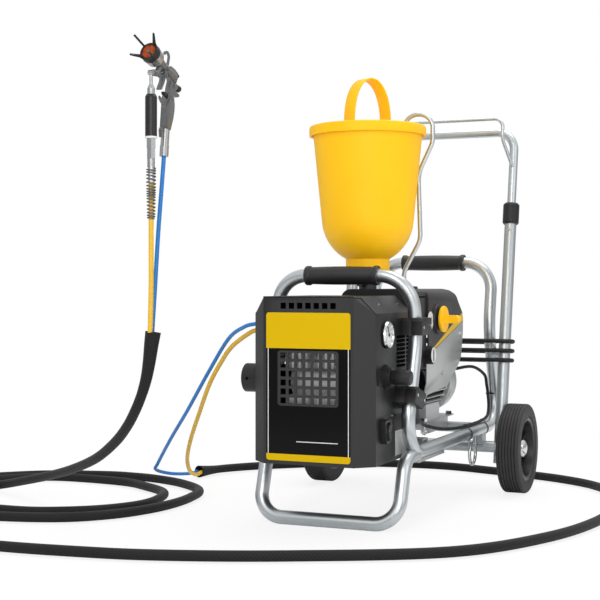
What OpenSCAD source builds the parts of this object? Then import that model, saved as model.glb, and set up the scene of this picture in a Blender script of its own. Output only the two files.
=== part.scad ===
// Airless paint sprayer with a compressor unit, on a tubular cart
// Millimetres. X to the right, Y to the rear, Z up. The floor is Z = 0 and the front of the cart faces -Y.

/* [Cart frame] */
// Outside diameter of the frame tubes
tube_d = 34; // [28:0.5:38]
// Half the distance between the left and right frame tubes, centre to centre
hoop_half_w = 181; // [175:1:200]
// Bend radius of the hoop corners
hoop_bend_r = 85; // [70:1:90]
// Bend radius of the waist in the uprights
waist_bend_r = 200; // [120:5:200]
// Height of the bottom rails
rail_z = 173; // [165:1:180]
// Height of the waist in the uprights
waist_z = 455; // [440:1:470]
// Height of the front hoop's top
front_top_z = 609; // [600:1:640]
// Height of the rear hoop's top
rear_top_z = 651; // [640:1:680]
// Depth of the front hoop's top
front_top_y = 220; // [200:1:230]
// Depth of the front upright at its waist
front_waist_y = 257; // [250:1:262]
// Depth of the rear upright at its waist
rear_waist_y = 931; // [920:1:960]
// Depth of the rear hoop's top
rear_top_y = 972; // [960:1:990]
// How far each upright leans out between its waist and the rail
lower_lean = 97; // [80:1:105]
// Length of the grips on the hoops
grip_len = 192; // [150:1:192]
// Diameter of the grips on the hoops
grip_d = 44; // [40:0.5:50]
// Depth of the front foot bar
foot_y = 118; // [100:1:140]

/* [Wheels] */
// Wheel diameter
wheel_d = 250; // [220:1:260]
// Wheel width
wheel_w = 63; // [50:1:70]
// Distance from the cart's middle to a wheel's inner face
wheel_in_x = 260; // [260:1:280]
// Depth of the axle
axle_y = 828; // [815:1:840]
// Diameter of the axle rod
axle_d = 16; // [12:0.5:20]
// Number of grooves in a tread
tread_grooves = 6; // [3:1:8]

/* [Handle] */
// Half the distance between the two handle tubes
handle_half_w = 241; // [238:1:243]
// Lean of the handle from upright, in degrees
handle_lean = 10.8; // [9:0.1:12]
// Outside diameter of the sliding handle tube
handle_d = 25; // [22:0.5:27]
// Length of the handle from the axle to the crossbar
handle_len = 929; // [900:1:1000]
// Length of the socket tube above the axle
socket_len = 680; // [660:1:700]
// Bend radius of the handle's corners
handle_bend_r = 55; // [40:1:60]
// Length of a clamp sleeve
sleeve_len = 62; // [50:1:70]
// Diameter of a clamp sleeve
sleeve_d = 47; // [44:0.5:50]
// Diameter of the hose hanger rod
hanger_d = 10; // [8:0.5:12]

/* [Compressor box] */
// Width of the box
box_w = 308; // [290:1:320]
// Depth of the box
box_d = 290; // [270:1:300]
// Height of the box's underside above the floor
box_z = 164; // [160:1:170]
// Height of the box
box_h = 395; // [380:1:410]
// Size of the chamfers at the front and the bevels at the top
box_bevel = 40; // [25:1:45]
// Sheet thickness
sheet = 2; // [1:0.25:3]
// Pitch of the grille and vent holes
vent_pitch = 21; // [19:0.5:22]
// Size of a square grille hole
vent_hole = 14; // [10:0.5:16]
// Pressure gauge diameter
gauge_d = 63; // [50:1:68]
// Regulator knob diameter
regulator_d = 37; // [30:0.5:42]

/* [Pump unit] */
// Distance of the motor's axis from the cart's middle
motor_x = 55; // [50:1:60]
// Height of the motor's axis
motor_z = 316; // [310:1:320]
// Radius of the motor's cooling fins
motor_fin_r = 76; // [72:0.5:80]
// Radius of the fan cowl
cowl_r = 84; // [80:0.5:86]
// Right side of the pump hood
hood_x = 150; // [146:1:155]
// Height of the pump hood's top
hood_top_z = 575; // [565:1:580]
// Wall of the pump hood
hood_wall = 4; // [3:0.5:6]
// Diameter of the pressure knob
knob_d = 70; // [60:1:76]
// Diameter of the relief valve knob
relief_d = 48; // [40:1:50]
// Diameter of the return pipe
pipe_d = 12; // [10:0.5:14]

/* [Hopper] */
// Depth of the hopper's axis
hopper_y = 401; // [395:1:410]
// Outside radius of the hopper at its rim
hopper_rim_r = 143.5; // [135:0.5:146]
// Outside radius where the hopper's round bottom starts
hopper_low_r = 119.5; // [110:0.5:125]
// Outside radius of the hopper's neck
hopper_neck_r = 57; // [45:0.5:60]
// Wall of the hopper
hopper_wall = 4; // [3:0.5:6]
// Height of the hopper's rim
hopper_top_z = 990; // [970:1:1000]
// Height of the lid's band
lid_h = 27; // [20:1:30]

/* [Gun] */
// Length of the paint filter handle
filter_len = 100; // [80:1:105]
// Diameter of the paint filter handle
filter_d = 27; // [22:0.5:30]
// Thickness of the gun's handle
gun_grip_w = 20; // [18:0.5:24]
// Outside diameter of the tip guard
guard_d = 46; // [42:0.5:48]

/* [Hoses and cords] */
// Diameter of the hose sheath
sheath_d = 24; // [20:0.5:26]
// Diameter of the paint hose
paint_hose_d = 11.5; // [10:0.5:12]
// Diameter of the air hose
air_hose_d = 10; // [8:0.5:11]
// Diameter of the power cord
power_d = 12; // [10:0.5:13]
// Pitch of the power cord's turns
power_pitch = 27; // [24:0.5:30]
// Number of turns of the power cord
power_turns = 3; // [2:1:4]

/* [Fits] */
// Clearance round the sliding handle, on the radius
slide_fit = 0.08; // [0.05:0.01:0.1]
// Clearance round turning shafts, on the radius
turn_fit = 0.06; // [0.03:0.01:0.1]
// Gap between parts that move beside each other
gap = 0.4; // [0.3:0.1:0.8]

/* [Hidden] */
$fn = 48;
tube_r = tube_d / 2;
wheel_r = wheel_d / 2;
axle_z = wheel_r;
box_top_z = box_z + box_h;
side_x = box_w / 2;
front_half_w = side_x - box_bevel;
handle_r = handle_d / 2;
axle_end = 14;

// ---- helpers ----
function unit(v) = v / norm(v);
function turn_angle(a, b, c) = acos(max(-1, min(1, unit(b - a) * unit(c - b))));
function bend_start(a, b, c, r) = r * tan(turn_angle(a, b, c) / 2);

module rod(a, b, r) {
    d = b - a;
    translate(a) rotate([0, acos(d[2] / norm(d)), atan2(d[1], d[0])]) cylinder(h = norm(d), r = r);
}

// A bent corner of a tube from the line a-b to the line b-c. Its ends reach a little way into the
// straights, a hair thinner than they are, so the two surfaces never lie on each other.
bend_lap = 0.3;
bend_step = 0.12;
module elbow(a, b, c, bend_r, r) {
    u = unit(b - a);
    w = unit(c - b);
    n = unit(w - (w * u) * u);
    start = b - u * bend_start(a, b, c, bend_r);
    centre = start + n * bend_r;
    z = cross(-n, u);
    multmatrix([[-n[0], u[0], z[0], centre[0]],
                [-n[1], u[1], z[1], centre[1]],
                [-n[2], u[2], z[2], centre[2]],
                [0, 0, 0, 1]])
        rotate(-bend_lap) rotate_extrude(angle = turn_angle(a, b, c) + 2 * bend_lap)
            translate([bend_r, 0]) circle(r - bend_step);
}

// A round bar along the points, with a bend radius for each inner corner
module bent_tube(points, bends, r) {
    last = len(points) - 1;
    function cut(i) = i == 0 || i == last ? 0
        : bend_start(points[i - 1], points[i], points[i + 1], bends[i - 1]);
    for (i = [0 : last - 1]) {
        dir = unit(points[i + 1] - points[i]);
        rod(points[i] + dir * cut(i), points[i + 1] - dir * cut(i + 1), r);
    }
    for (i = [1 : last - 1])
        elbow(points[i - 1], points[i], points[i + 1], bends[i - 1], r);
}

module rounded_rect(w, h, r) {
    square([w - 2 * r, h], center = true);
    square([w, h - 2 * r], center = true);
    for (x = [-1, 1], y = [-1, 1]) translate([x * (w / 2 - r), y * (h / 2 - r)]) circle(r);
}

// Extrudes a (Y, Z) outline along X
module along_x(x0, x1) {
    multmatrix([[0, 0, 1, x0], [1, 0, 0, 0], [0, 1, 0, 0], [0, 0, 0, 1]])
        linear_extrude(x1 - x0) children();
}

// Extrudes an (X, Z) outline along Y
module along_y(y0, y1) {
    multmatrix([[1, 0, 0, 0], [0, 0, -1, y1], [0, 1, 0, 0], [0, 0, 0, 1]])
        linear_extrude(y1 - y0) children();
}

module disc_x(x0, x1, y, z, r) {
    translate([x0, y, z]) rotate([0, 90, 0]) cylinder(h = x1 - x0, r = r);
}

// ---- swept tubes for hoses and cords ----
function spline_point(p0, p1, p2, p3, t) =
    0.5 * (2 * p1 + (p2 - p0) * t + (2 * p0 - 5 * p1 + 4 * p2 - p3) * t * t
    + (3 * p1 - p0 - 3 * p2 + p3) * t * t * t);
function spline(p, steps) = let(n = len(p) - 1)
    [for (i = [0 : n - 1], k = [0 : steps - 1])
        spline_point(p[max(i - 1, 0)], p[i], p[i + 1], p[min(i + 2, n)], k / steps), p[n]];
function tangent(p, i) = unit(p[min(i + 1, len(p) - 1)] - p[max(i - 1, 0)]);
function side_of(t, s) = unit(s - (s * t) * t);
// One sideways direction for each ring, carried along without twist
function side_list(p, i, s) = i >= len(p) ? []
    : let(n = side_of(tangent(p, i), s)) concat([n], side_list(p, i + 1, n));

// r is one radius, or one for each point
module sweep(p, r, sides, first_side = [0, 0, 1]) {
    s = side_list(p, 0, first_side);
    n = len(p);
    rings = [for (i = [0 : n - 1], k = [0 : sides - 1])
        let(c = cross(tangent(p, i), s[i]), a = 360 * k / sides)
        p[i] + (is_list(r) ? r[i] : r) * (cos(a) * s[i] + sin(a) * c)];
    walls = [for (i = [0 : n - 2], k = [0 : sides - 1], half = [0, 1])
        let(a = i * sides + k, b = i * sides + (k + 1) % sides)
        half == 0 ? [a, a + sides, b] : [b, a + sides, b + sides]];
    caps = [for (k = [1 : sides - 2], end = [0, 1])
        end == 0 ? [0, k, k + 1] : [(n - 1) * sides, (n - 1) * sides + k + 1, (n - 1) * sides + k]];
    polyhedron(points = rings, faces = concat(walls, caps));
}

// ---- cart frame ----
module hoop_path(top_y, waist_y, low_y, top_z, mid_y, r) {
    bent_tube([[-hoop_half_w, mid_y, rail_z], [-hoop_half_w, low_y, rail_z],
               [-hoop_half_w, waist_y, waist_z], [-hoop_half_w, top_y, top_z],
               [hoop_half_w, top_y, top_z], [hoop_half_w, waist_y, waist_z],
               [hoop_half_w, low_y, rail_z], [hoop_half_w, mid_y, rail_z]],
              [hoop_bend_r, waist_bend_r, hoop_bend_r, hoop_bend_r, waist_bend_r, hoop_bend_r], r);
}
hoop_mid_y = 600;
front_low_y = front_waist_y - lower_lean;
rear_low_y = rear_waist_y + lower_lean;
lower_slope = lower_lean / (waist_z - rail_z);

module front_hoop_solid(r) {
    hoop_path(front_top_y, front_waist_y, front_low_y, front_top_z, hoop_mid_y, r);
}
module rear_hoop_solid(r) {
    hoop_path(rear_top_y, rear_waist_y, rear_low_y, rear_top_z, hoop_mid_y, r);
}
module front_hoop() {
    color("silver") front_hoop_solid(tube_r);
}
module rear_hoop() {
    color("silver") rear_hoop_solid(tube_r);
}

foot_top_z = rail_z - 3;
foot_top_y = foot_y + 52;
foot_bend_r = 60;
foot_plate_y0 = 238;
foot_plate_y1 = 448;
module front_foot() {
    color("silver") difference() {
        union() {
            bent_tube([[-hoop_half_w, foot_top_y + 80, foot_top_z], [-hoop_half_w, foot_top_y, foot_top_z],
                       [-hoop_half_w, foot_y, tube_r], [hoop_half_w, foot_y, tube_r],
                       [hoop_half_w, foot_top_y, foot_top_z], [hoop_half_w, foot_top_y + 80, foot_top_z]],
                      [55, foot_bend_r, foot_bend_r, 55], tube_r);
            for (s = [-1, 1])
                translate([s * hoop_half_w - 13, foot_plate_y0, rail_z - tube_r - 5])
                    cube([26, foot_plate_y1 - foot_plate_y0, 9]);
        }
        front_hoop_solid(tube_r);
    }
}

module on_handle() {
    translate([0, axle_y, axle_z]) rotate([-handle_lean, 0, 0]) children();
}
function handle_point(x, w) = [x, axle_y + w * sin(handle_lean), axle_z + w * cos(handle_lean)];
socket_foot = -46;
brace_z = 382;
brace_w = (brace_z - axle_z) / cos(handle_lean);
brace_y = rear_waist_y + lower_slope * (waist_z - brace_z) - 2;
axle_tube_r = 16;
button_w = 630;
button_r = 4;
module socket_solid(s, r) {
    on_handle() translate([s * handle_half_w, 0, socket_foot]) cylinder(h = socket_len - socket_foot, r = r);
}
module rear_frame() {
    color("silver") lashing_eye();
    color("silver") difference() {
        union() {
            disc_x(-handle_half_w, handle_half_w, axle_y, axle_z, axle_tube_r);
            for (s = [-1, 1]) {
                socket_solid(s, tube_r);
                rod([s * hoop_half_w, brace_y, brace_z], handle_point(s * handle_half_w, brace_w), 8);
                translate([s * hoop_half_w - 14, axle_y - 20, axle_z + tube_r - 8])
                    cube([28, 40, rail_z - axle_z - 2 * tube_r + 16]);
            }
        }
        rear_hoop_solid(tube_r);
        disc_x(-handle_half_w - 30, handle_half_w + 30, axle_y, axle_z, axle_d / 2);
        for (s = [-1, 1]) {
            on_handle() translate([s * handle_half_w, 0, 40])
                cylinder(h = socket_len, r = handle_r + slide_fit);
            on_handle() translate([s * handle_half_w, 0, button_w]) rotate([90, 0, 0])
                cylinder(h = tube_r + 5, r = button_r + turn_fit);
        }
    }
}

member_h = 24;
member_half = hoop_half_w - 9;
member_top = rail_z + tube_r + 8;
front_member_y = 355;
rear_member_y = 755;
module cross_member(y) {
    difference() {
        translate([-member_half, y - 21, member_top - member_h]) cube([2 * member_half, 42, member_h]);
        translate([-member_half - 1, y - 17, member_top - member_h - 4])
            cube([2 * member_half + 2, 34, member_h]);
    }
}
module cross_members() {
    color("silver") difference() {
        union() {
            cross_member(front_member_y);
            cross_member(rear_member_y);
        }
        front_hoop_solid(tube_r);
        rear_hoop_solid(tube_r);
    }
}

module hoop_grip(y, z) {
    translate([-grip_len / 2, y, z]) rotate([0, 90, 0]) rotate_extrude() polygon(concat(
        [[tube_r, 0], [grip_d / 2 + 1.5, 0], [grip_d / 2 + 2.5, 2], [grip_d / 2 + 2.5, 10],
         [grip_d / 2 - 0.5, 15]],
        [for (i = [0 : 8]) [grip_d / 2 - 0.5 + 1.5 * sin(i * 22.5), 15 + (grip_len - 30) * i / 8]],
        [[grip_d / 2 + 2.5, grip_len - 10], [grip_d / 2 + 2.5, grip_len - 2],
         [grip_d / 2 + 1.5, grip_len], [tube_r, grip_len]]));
}
module hoop_grips() {
    color("#262626") {
        hoop_grip(front_top_y, front_top_z);
        hoop_grip(rear_top_y, rear_top_z);
    }
}

// ---- handle ----
slider_foot = 290;
module handle_tube() {
    x = handle_half_w;
    color("lightgray") on_handle() bent_tube([[-x, 0, slider_foot], [-x, 0, handle_len], [x, 0, handle_len],
        [x, 0, slider_foot]], [handle_bend_r, handle_bend_r], handle_r);
}
hanger_weld_w = 816;
hanger_top_w = 938;
hanger_out = 106;
module hose_hanger() {
    in_x = handle_half_w - 9;
    color("lightgray") difference() {
        on_handle() bent_tube([[-handle_half_w, 0, hanger_weld_w], [-in_x, -hanger_out, hanger_weld_w + 62],
                [-in_x, -hanger_out, hanger_top_w], [in_x, -hanger_out, hanger_top_w],
                [in_x, -hanger_out, hanger_weld_w + 62], [handle_half_w, 0, hanger_weld_w]],
                [28, 26, 26, 28], hanger_d / 2);
        on_handle() for (s = [-1, 1])
            translate([s * handle_half_w, 0, hanger_weld_w - 60]) cylinder(h = 160, r = handle_r);
    }
}
module clamp_sleeves() {
    color("#222222") for (s = [-1, 1])
        on_handle() translate([s * handle_half_w, 0, socket_len - sleeve_len / 2]) rotate_extrude() polygon([
            [tube_r, 0], [sleeve_d / 2 - 3, 0], [sleeve_d / 2, 4], [sleeve_d / 2, sleeve_len - 5],
            [sleeve_d / 2 - 4, sleeve_len], [handle_r + gap, sleeve_len],
            [handle_r + gap, sleeve_len / 2], [tube_r, sleeve_len / 2]]);
}
// A snap button sits in the socket's wall, clear of the sliding tube by its travel
button_travel = 1.2;
button_out = 2.8;
module snap_button(s) {
    foot = handle_r + button_travel + gap;
    color("silver") on_handle() translate([s * handle_half_w, 0, button_w]) rotate([90, 0, 0])
        translate([0, 0, foot]) cylinder(h = tube_r + button_out - foot, r = button_r);
}
module snap_button_left() {
    snap_button(-1);
}
module snap_button_right() {
    snap_button(1);
}

// ---- wheels ----
module axle() {
    end_x = wheel_in_x + wheel_w - axle_end;
    color("silver") {
        disc_x(-end_x, end_x, axle_y, axle_z, axle_d / 2);
        for (s = [0, 1]) mirror([s, 0, 0]) translate([end_x, axle_y, axle_z]) rotate([0, 90, 0])
            rotate_extrude() polygon(concat([[0, -10], [axle_d / 2 + 4, -10], [axle_d / 2 + 4, -8], [26, -7]],
                [for (i = [0 : 8]) [26 * cos(i * 11.25), -5 + 15 * sin(i * 11.25)]]));
    }
}
tyre_in_r = 90;
module tyre() {
    step = (wheel_w - 12) / tread_grooves;
    rotate_extrude() difference() {
        union() {
            translate([tyre_in_r, 4]) square([wheel_r - tyre_in_r - 4, wheel_w - 8]);
            translate([tyre_in_r + 4, 0]) square([wheel_r - tyre_in_r - 12, wheel_w]);
            translate([tyre_in_r, 8]) square([wheel_r - tyre_in_r, wheel_w - 16]);
            for (y = [8, wheel_w - 8]) translate([wheel_r - 8, y]) circle(8);
            for (y = [4, wheel_w - 4]) translate([tyre_in_r + 4, y]) circle(4);
        }
        for (i = [0 : tread_grooves - 1])
            translate([wheel_r - 1.8, 6 + step * (i + 0.5) - 1.2]) square([4, 2.4]);
    }
}
rim_web_z = 26;
module rim() {
    difference() {
        union() {
            rotate_extrude() polygon([[axle_d / 2 + turn_fit, 2], [24, 2], [24, rim_web_z - 4],
                [tyre_in_r - 14, rim_web_z - 8], [tyre_in_r - 6, 1], [tyre_in_r, 1],
                [tyre_in_r, wheel_w - 3], [tyre_in_r - 6, wheel_w - 1],
                [tyre_in_r - 12, wheel_w - 4], [tyre_in_r - 17, rim_web_z], [30, rim_web_z + 3],
                [22, wheel_w - axle_end - 13], [axle_d / 2 + turn_fit, wheel_w - axle_end - 12]]);
            for (k = [0 : 5]) rotate(k * 60) translate([22, -3, rim_web_z - 2]) cube([tyre_in_r - 36, 6, 16]);
        }
        for (k = [0 : 5]) rotate(k * 60 + 30) translate([54, 0, -1]) cylinder(h = wheel_w, r = 9);
    }
}
module wheel_place(s) {
    translate([s * wheel_in_x, axle_y, axle_z]) rotate([0, s * 90, 0]) children();
}
module tyre_left() {
    color("#2b2b2b") wheel_place(-1) tyre();
}
module tyre_right() {
    color("#2b2b2b") wheel_place(1) tyre();
}
module rim_left() {
    color("#202020") wheel_place(-1) rim();
}
module rim_right() {
    color("#202020") wheel_place(1) rim();
}

// ---- lashing ring under the right rail ----
ring_r = 30;
ring_wire = 4.5;
eye_z = rail_z - tube_r - 22;
eye_half_w = 9.5;
eye_wire = 3.5;
ring_y = 757;
ring_z = eye_z + eye_wire + ring_wire + gap - ring_r;
module lashing_eye() {
    foot_z = rail_z - tube_r + 6;
    difference() {
        translate([hoop_half_w, ring_y, 0]) bent_tube([[-eye_half_w, 0, foot_z], [-eye_half_w, 0, eye_z],
            [eye_half_w, 0, eye_z], [eye_half_w, 0, foot_z]], [5, 5], eye_wire);
        rear_hoop_solid(tube_r);
    }
}
module tie_ring() {
    color("silver") translate([hoop_half_w, ring_y, ring_z]) rotate([0, 90, 0])
        rotate_extrude() translate([ring_r, 0]) circle(ring_wire);
}

// ---- compressor box ----
// Plan outline of the box, grown or shrunk by t
module box_plan(t) {
    k = t * (sqrt(2) - 1);
    polygon([[-side_x - t, box_d + t], [-side_x - t, box_bevel - k], [-front_half_w - k, -t],
             [front_half_w + k, -t], [side_x + t, box_bevel - k], [side_x + t, box_d + t]]);
}
// Front outline of the box with the top bevels, grown or shrunk by t
module box_face(t, drop = 0) {
    k = t * (sqrt(2) - 1);
    polygon([[-side_x - t, box_z - t], [side_x + t, box_z - t], [side_x + t, box_top_z - box_bevel + k - drop],
             [front_half_w + k, box_top_z + t - drop], [-front_half_w - k, box_top_z + t - drop],
             [-side_x - t, box_top_z - box_bevel + k - drop]]);
}
module box_solid(t, drop = 0) {
    intersection() {
        translate([0, 0, box_z - t]) linear_extrude(box_h + 2 * t) box_plan(t);
        along_y(-t, box_d + t) box_face(t, drop);
    }
}
grille_rows = 6;
grille_cols = 7;
grille_z = 367;
vents_z = 537;
panel_w = 213;
panel_z0 = 173;
panel_z1 = 521;
grille_plate_w = 154;
grille_plate_h = 130;
module vent_holes(rows, z, depth) {
    for (r = [0 : rows - 1], c = [0 : grille_cols - 1])
        translate([(c - (grille_cols - 1) / 2) * vent_pitch - vent_hole / 2, -depth,
                   z + (r - (rows - 1) / 2) * vent_pitch - vent_hole / 2])
            cube([vent_hole, 2 * depth, vent_hole]);
}
module front_cover() {
    color("#444444") difference() {
        union() {
            intersection() {
                difference() {
                    box_solid(0, sheet + 0.6);
                    box_solid(-sheet);
                }
                translate([-side_x - 1, -1, box_z - 1]) cube([box_w + 2, box_bevel + 1, box_h + 2]);
            }
            along_y(-1.2, sheet / 2) translate([0, grille_z]) rounded_rect(grille_plate_w, grille_plate_h, 8);
        }
        vent_holes(grille_rows, grille_z, 6);
        vent_holes(1, vents_z, 6);
    }
}
louvre_rows = 8;
louvre_pitch = 10;
louvre_z = 425;
module body_shell() {
    color("#333333") difference() {
        union() {
            difference() {
                box_solid(0);
                box_solid(-sheet);
                // room for the front cover under the roof
                translate([0, 0, box_z - 1]) linear_extrude(box_h - sheet) intersection() {
                    box_plan(1);
                    translate([-side_x - 2, -2]) square([box_w + 4, box_bevel + 2 + gap]);
                }
                intersection() {
                    box_solid(1, sheet + 1);
                    translate([-side_x - 2, -2, box_z]) cube([box_w + 4, box_bevel + 2 + gap, box_h + 2]);
                }
            }
        }
        for (s = [-1, 1], k = [0 : louvre_rows - 1], c = [0, 1])
            translate([s * side_x - 3, 186 + c * 72, louvre_z + (k - (louvre_rows - 1) / 2) * louvre_pitch - 3.6])
                cube([6, c == 0 ? 64 : 24, 7.2]);
    }
}
module front_panel() {
    color("#d9b508") difference() {
        along_y(-0.7, 0) translate([0, (panel_z0 + panel_z1) / 2]) rounded_rect(panel_w, panel_z1 - panel_z0, 7);
        along_y(-2, 1) translate([0, grille_z]) rounded_rect(grille_plate_w + 0.4, grille_plate_h + 0.4, 8.2);
    }
}
module compressor() {
    color("lightgray") union() {
        translate([-62, 58, box_z + sheet]) cube([124, 110, 110]);
        translate([-72, 48, 272]) cube([144, 120, 52]);
        translate([-70, 104, 357]) rotate([0, 90, 0]) cylinder(h = 140, r = 44);
        translate([-70, 56, 390]) cube([140, 96, 46]);
        for (i = [0 : 8]) translate([-70 + i * 16.7, 30, 386]) cube([6, 40, 54]);
        for (i = [0 : 8]) translate([-70 + i * 16.7, 34, 276]) cube([6, 20, 46]);
    }
}
silencer_y = 90;
silencer_z = 359;
module intake_silencer() {
    color("#262626") difference() {
        union() {
            disc_x(-side_x - 12, -side_x, silencer_y, silencer_z, 38);
            disc_x(-side_x - 46, -side_x - 12, silencer_y, silencer_z, 35);
        }
        rod([-side_x - 30, silencer_y - 40, silencer_z], [-side_x - 30, silencer_y - 24, silencer_z], 4);
        disc_x(-side_x - 60, -side_x - 40, silencer_y, silencer_z, 24);
    }
}

gauge_y = 109;
gauge_z = 468;
module gauge_case() {
    r = gauge_d / 2;
    color("silver") translate([side_x, gauge_y, gauge_z]) rotate([0, 90, 0]) rotate_extrude() polygon([
        [0, 0], [r + 1.5, 0], [r + 1.5, 5], [r, 9], [r - 1, 11], [r - 4, 11], [r - 5, 7], [4, 7], [4, 8],
        [0, 8]]);
}
module gauge_needle() {
    color("#111111") translate([side_x + 8 + gap, gauge_y, gauge_z]) rotate([0, 90, 0]) union() {
        cylinder(h = 1.6, r = 3);
        rotate(205) translate([-6, -0.8, 0]) cube([27, 1.6, 0.8]);
    }
}
regulator_y = 108;
regulator_z = 368;
regulator_end = 64;
module regulator_body() {
    color("#242424") union() {
        translate([side_x, 50, regulator_z - 18]) cube([3, 116, 36]);
        disc_x(side_x, side_x + 7, regulator_y, regulator_z, 29);
        disc_x(side_x + 6, side_x + 12, regulator_y, regulator_z, 25);
        disc_x(side_x + 11, side_x + 17, regulator_y, regulator_z, 22);
        disc_x(side_x + 16, side_x + 34, regulator_y, regulator_z, 8);
    }
}
module regulator_knob() {
    r = regulator_d / 2;
    color("#2e2e2e") translate([side_x + 17 + gap, regulator_y, regulator_z]) rotate([0, 90, 0]) difference() {
        union() {
            cylinder(h = 8, r = r - 1.5);
            translate([0, 0, 8]) cylinder(h = regulator_end - 29, r = r);
            translate([0, 0, regulator_end - 21]) cylinder(h = 3, r1 = r, r2 = r - 3);
        }
        translate([0, 0, -1]) cylinder(h = 20, r = 8 + turn_fit);
    }
}
switch_y = 90;
switch_z = 241;
module switch_bezel() {
    color("#1f1f1f") difference() {
        along_x(side_x, side_x + 14) polygon([[switch_y - 24, switch_z + 24], [switch_y - 12, switch_z - 28],
            [switch_y + 14, switch_z - 28], [switch_y + 24, switch_z + 16], [switch_y + 16, switch_z + 28],
            [switch_y - 18, switch_z + 28]]);
        translate([side_x + 3, switch_y - 9, switch_z - 21]) cube([20, 20, 43]);
        rocker_pin(2 + turn_fit, 3);
    }
}
module rocker_pin(r, over) {
    translate([side_x + 8, switch_y - 13 - over, switch_z])
        rotate([-90, 0, 0]) cylinder(h = 28 + 2 * over, r = r);
}
module rocker() {
    color("#2a2a2a") union() {
        translate([side_x + 10, switch_y + 10, switch_z]) rotate([90, 0, 0]) linear_extrude(18)
            polygon([[-4, -8], [8, -18], [10, -17], [6, 0], [10, 17], [8, 18], [-4, 8]]);
        rocker_pin(2, 0);
    }
}

// ---- tube clamps ----
clamp_len = 76;
clamp_h = 42;
clamp_cut = 14;
module clamp_block(y, z, tilt) {
    for (side = [-1, 1]) {
        x0 = side < 0 ? side_x : hoop_half_w + gap;
        x1 = side < 0 ? hoop_half_w - gap : hoop_half_w + 27;
        translate([0, y, z]) rotate([tilt, 0, 0]) along_x(x0, x1) polygon([
            [-clamp_len / 2, -clamp_h / 2], [clamp_len / 2 - clamp_cut, -clamp_h / 2],
            [clamp_len / 2, -clamp_h / 2 + clamp_cut], [clamp_len / 2, clamp_h / 2],
            [-clamp_len / 2 + clamp_cut / 2, clamp_h / 2], [-clamp_len / 2, clamp_h / 2 - clamp_cut / 2]]);
    }
}
upper_clamp_z = 484;
lower_clamp_z = 312;
lower_clamp_y = front_waist_y - lower_slope * (waist_z - lower_clamp_z);
module tube_clamps() {
    color("#1d1d1d") difference() {
        for (m = [0, 1]) mirror([m, 0, 0]) {
            clamp_block(front_waist_y, upper_clamp_z, 0);
            clamp_block(lower_clamp_y, lower_clamp_z, -atan(lower_slope));
        }
        front_hoop_solid(tube_r + 0.15);
    }
}
outlet_blue = [120, 489];
outlet_yellow = [138, 474];
outlet_len = 24;
module air_outlets() {
    color("#b8b8b8") for (o = [outlet_blue, outlet_yellow]) union() {
        disc_x(-side_x - 8, -side_x, o[0], o[1], 10);
        disc_x(-side_x - outlet_len, -side_x - 8, o[0], o[1], 7);
    }
}
module screw_x(x, y, z, r) {
    disc_x(x, x + 2.5, y, z, r);
}
module screws() {
    clamp_x = hoop_half_w + 27;
    color("silver") {
        for (m = [0, 1]) mirror([m, 0, 0]) {
            for (dy = [-28, 26]) {
                screw_x(clamp_x, front_waist_y + dy, upper_clamp_z + dy / 14, 4);
                screw_x(clamp_x, lower_clamp_y + dy * 0.94, lower_clamp_z - dy * 0.32 + 1, 4);
            }
            // bevel screws of the box
            for (y = [112, 250]) translate([side_x - box_bevel / 2, y, box_top_z - box_bevel / 2])
                rotate([0, 45, 0]) cylinder(h = 2, r = 3.5);
        }
        for (dy = [0, 9]) screw_x(side_x, 160 + dy, 272, 3.5);
        // side cover screws
        screw_x(hood_x, 744, 448, 7);
        screw_x(hood_x, 571, 350, 7);
        // motor foot bolts
        for (y = [545, 770]) translate([motor_x + 52, y, base_top]) cylinder(h = 9, r = 9, $fn = 6);
        translate([motor_x + 52, 545, base_top - 36]) {
            cylinder(h = 31.9, r = 4.5);
            translate([0, 0, 4]) cylinder(h = 9, r = 9, $fn = 6);
        }
    }
}

// ---- pump unit ----
stripe_low = [452, 401.5];
stripe_high = [770, 485];
inlet_r = 23;
knob_y = 528;
knob_z = 495;
relief_y = 425;
relief_z = 405;
hood_left = 2 * motor_x - hood_x - 5;
module hood_side(t) {
    polygon([[325 + t, 372 + (t > 0 ? -10 : 0)], [325 + t, hood_top_z - t], [640 - t / 2, hood_top_z - t],
        [672 - t, hood_top_z - 4 - t], [698 - t, hood_top_z - 15 - t], [720 - t, hood_top_z - 34 - t],
        [764 - t, 507 - t], [stripe_high[0] - t, stripe_high[1] + (t > 0 ? -12 : 0)],
        [stripe_low[0] + t, stripe_low[1] + (t > 0 ? -12 : 0)], [452, 372 + (t > 0 ? -10 : 0)]]);
}
module hood_front(t) {
    r = 26;
    x0 = hood_left + t;
    x1 = hood_x - t;
    translate([x0, 340]) square([x1 - x0, hood_top_z - t - r - 340]);
    translate([x0 + r, 340]) square([x1 - x0 - 2 * r, hood_top_z - t - 340]);
    for (x = [x0 + r, x1 - r]) translate([x, hood_top_z - t - r]) circle(r);
}
module hood_solid(t) {
    intersection() {
        along_x(hood_left - 1, hood_x + 1) hood_side(t);
        along_y(300, 800) hood_front(t);
    }
}
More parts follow.
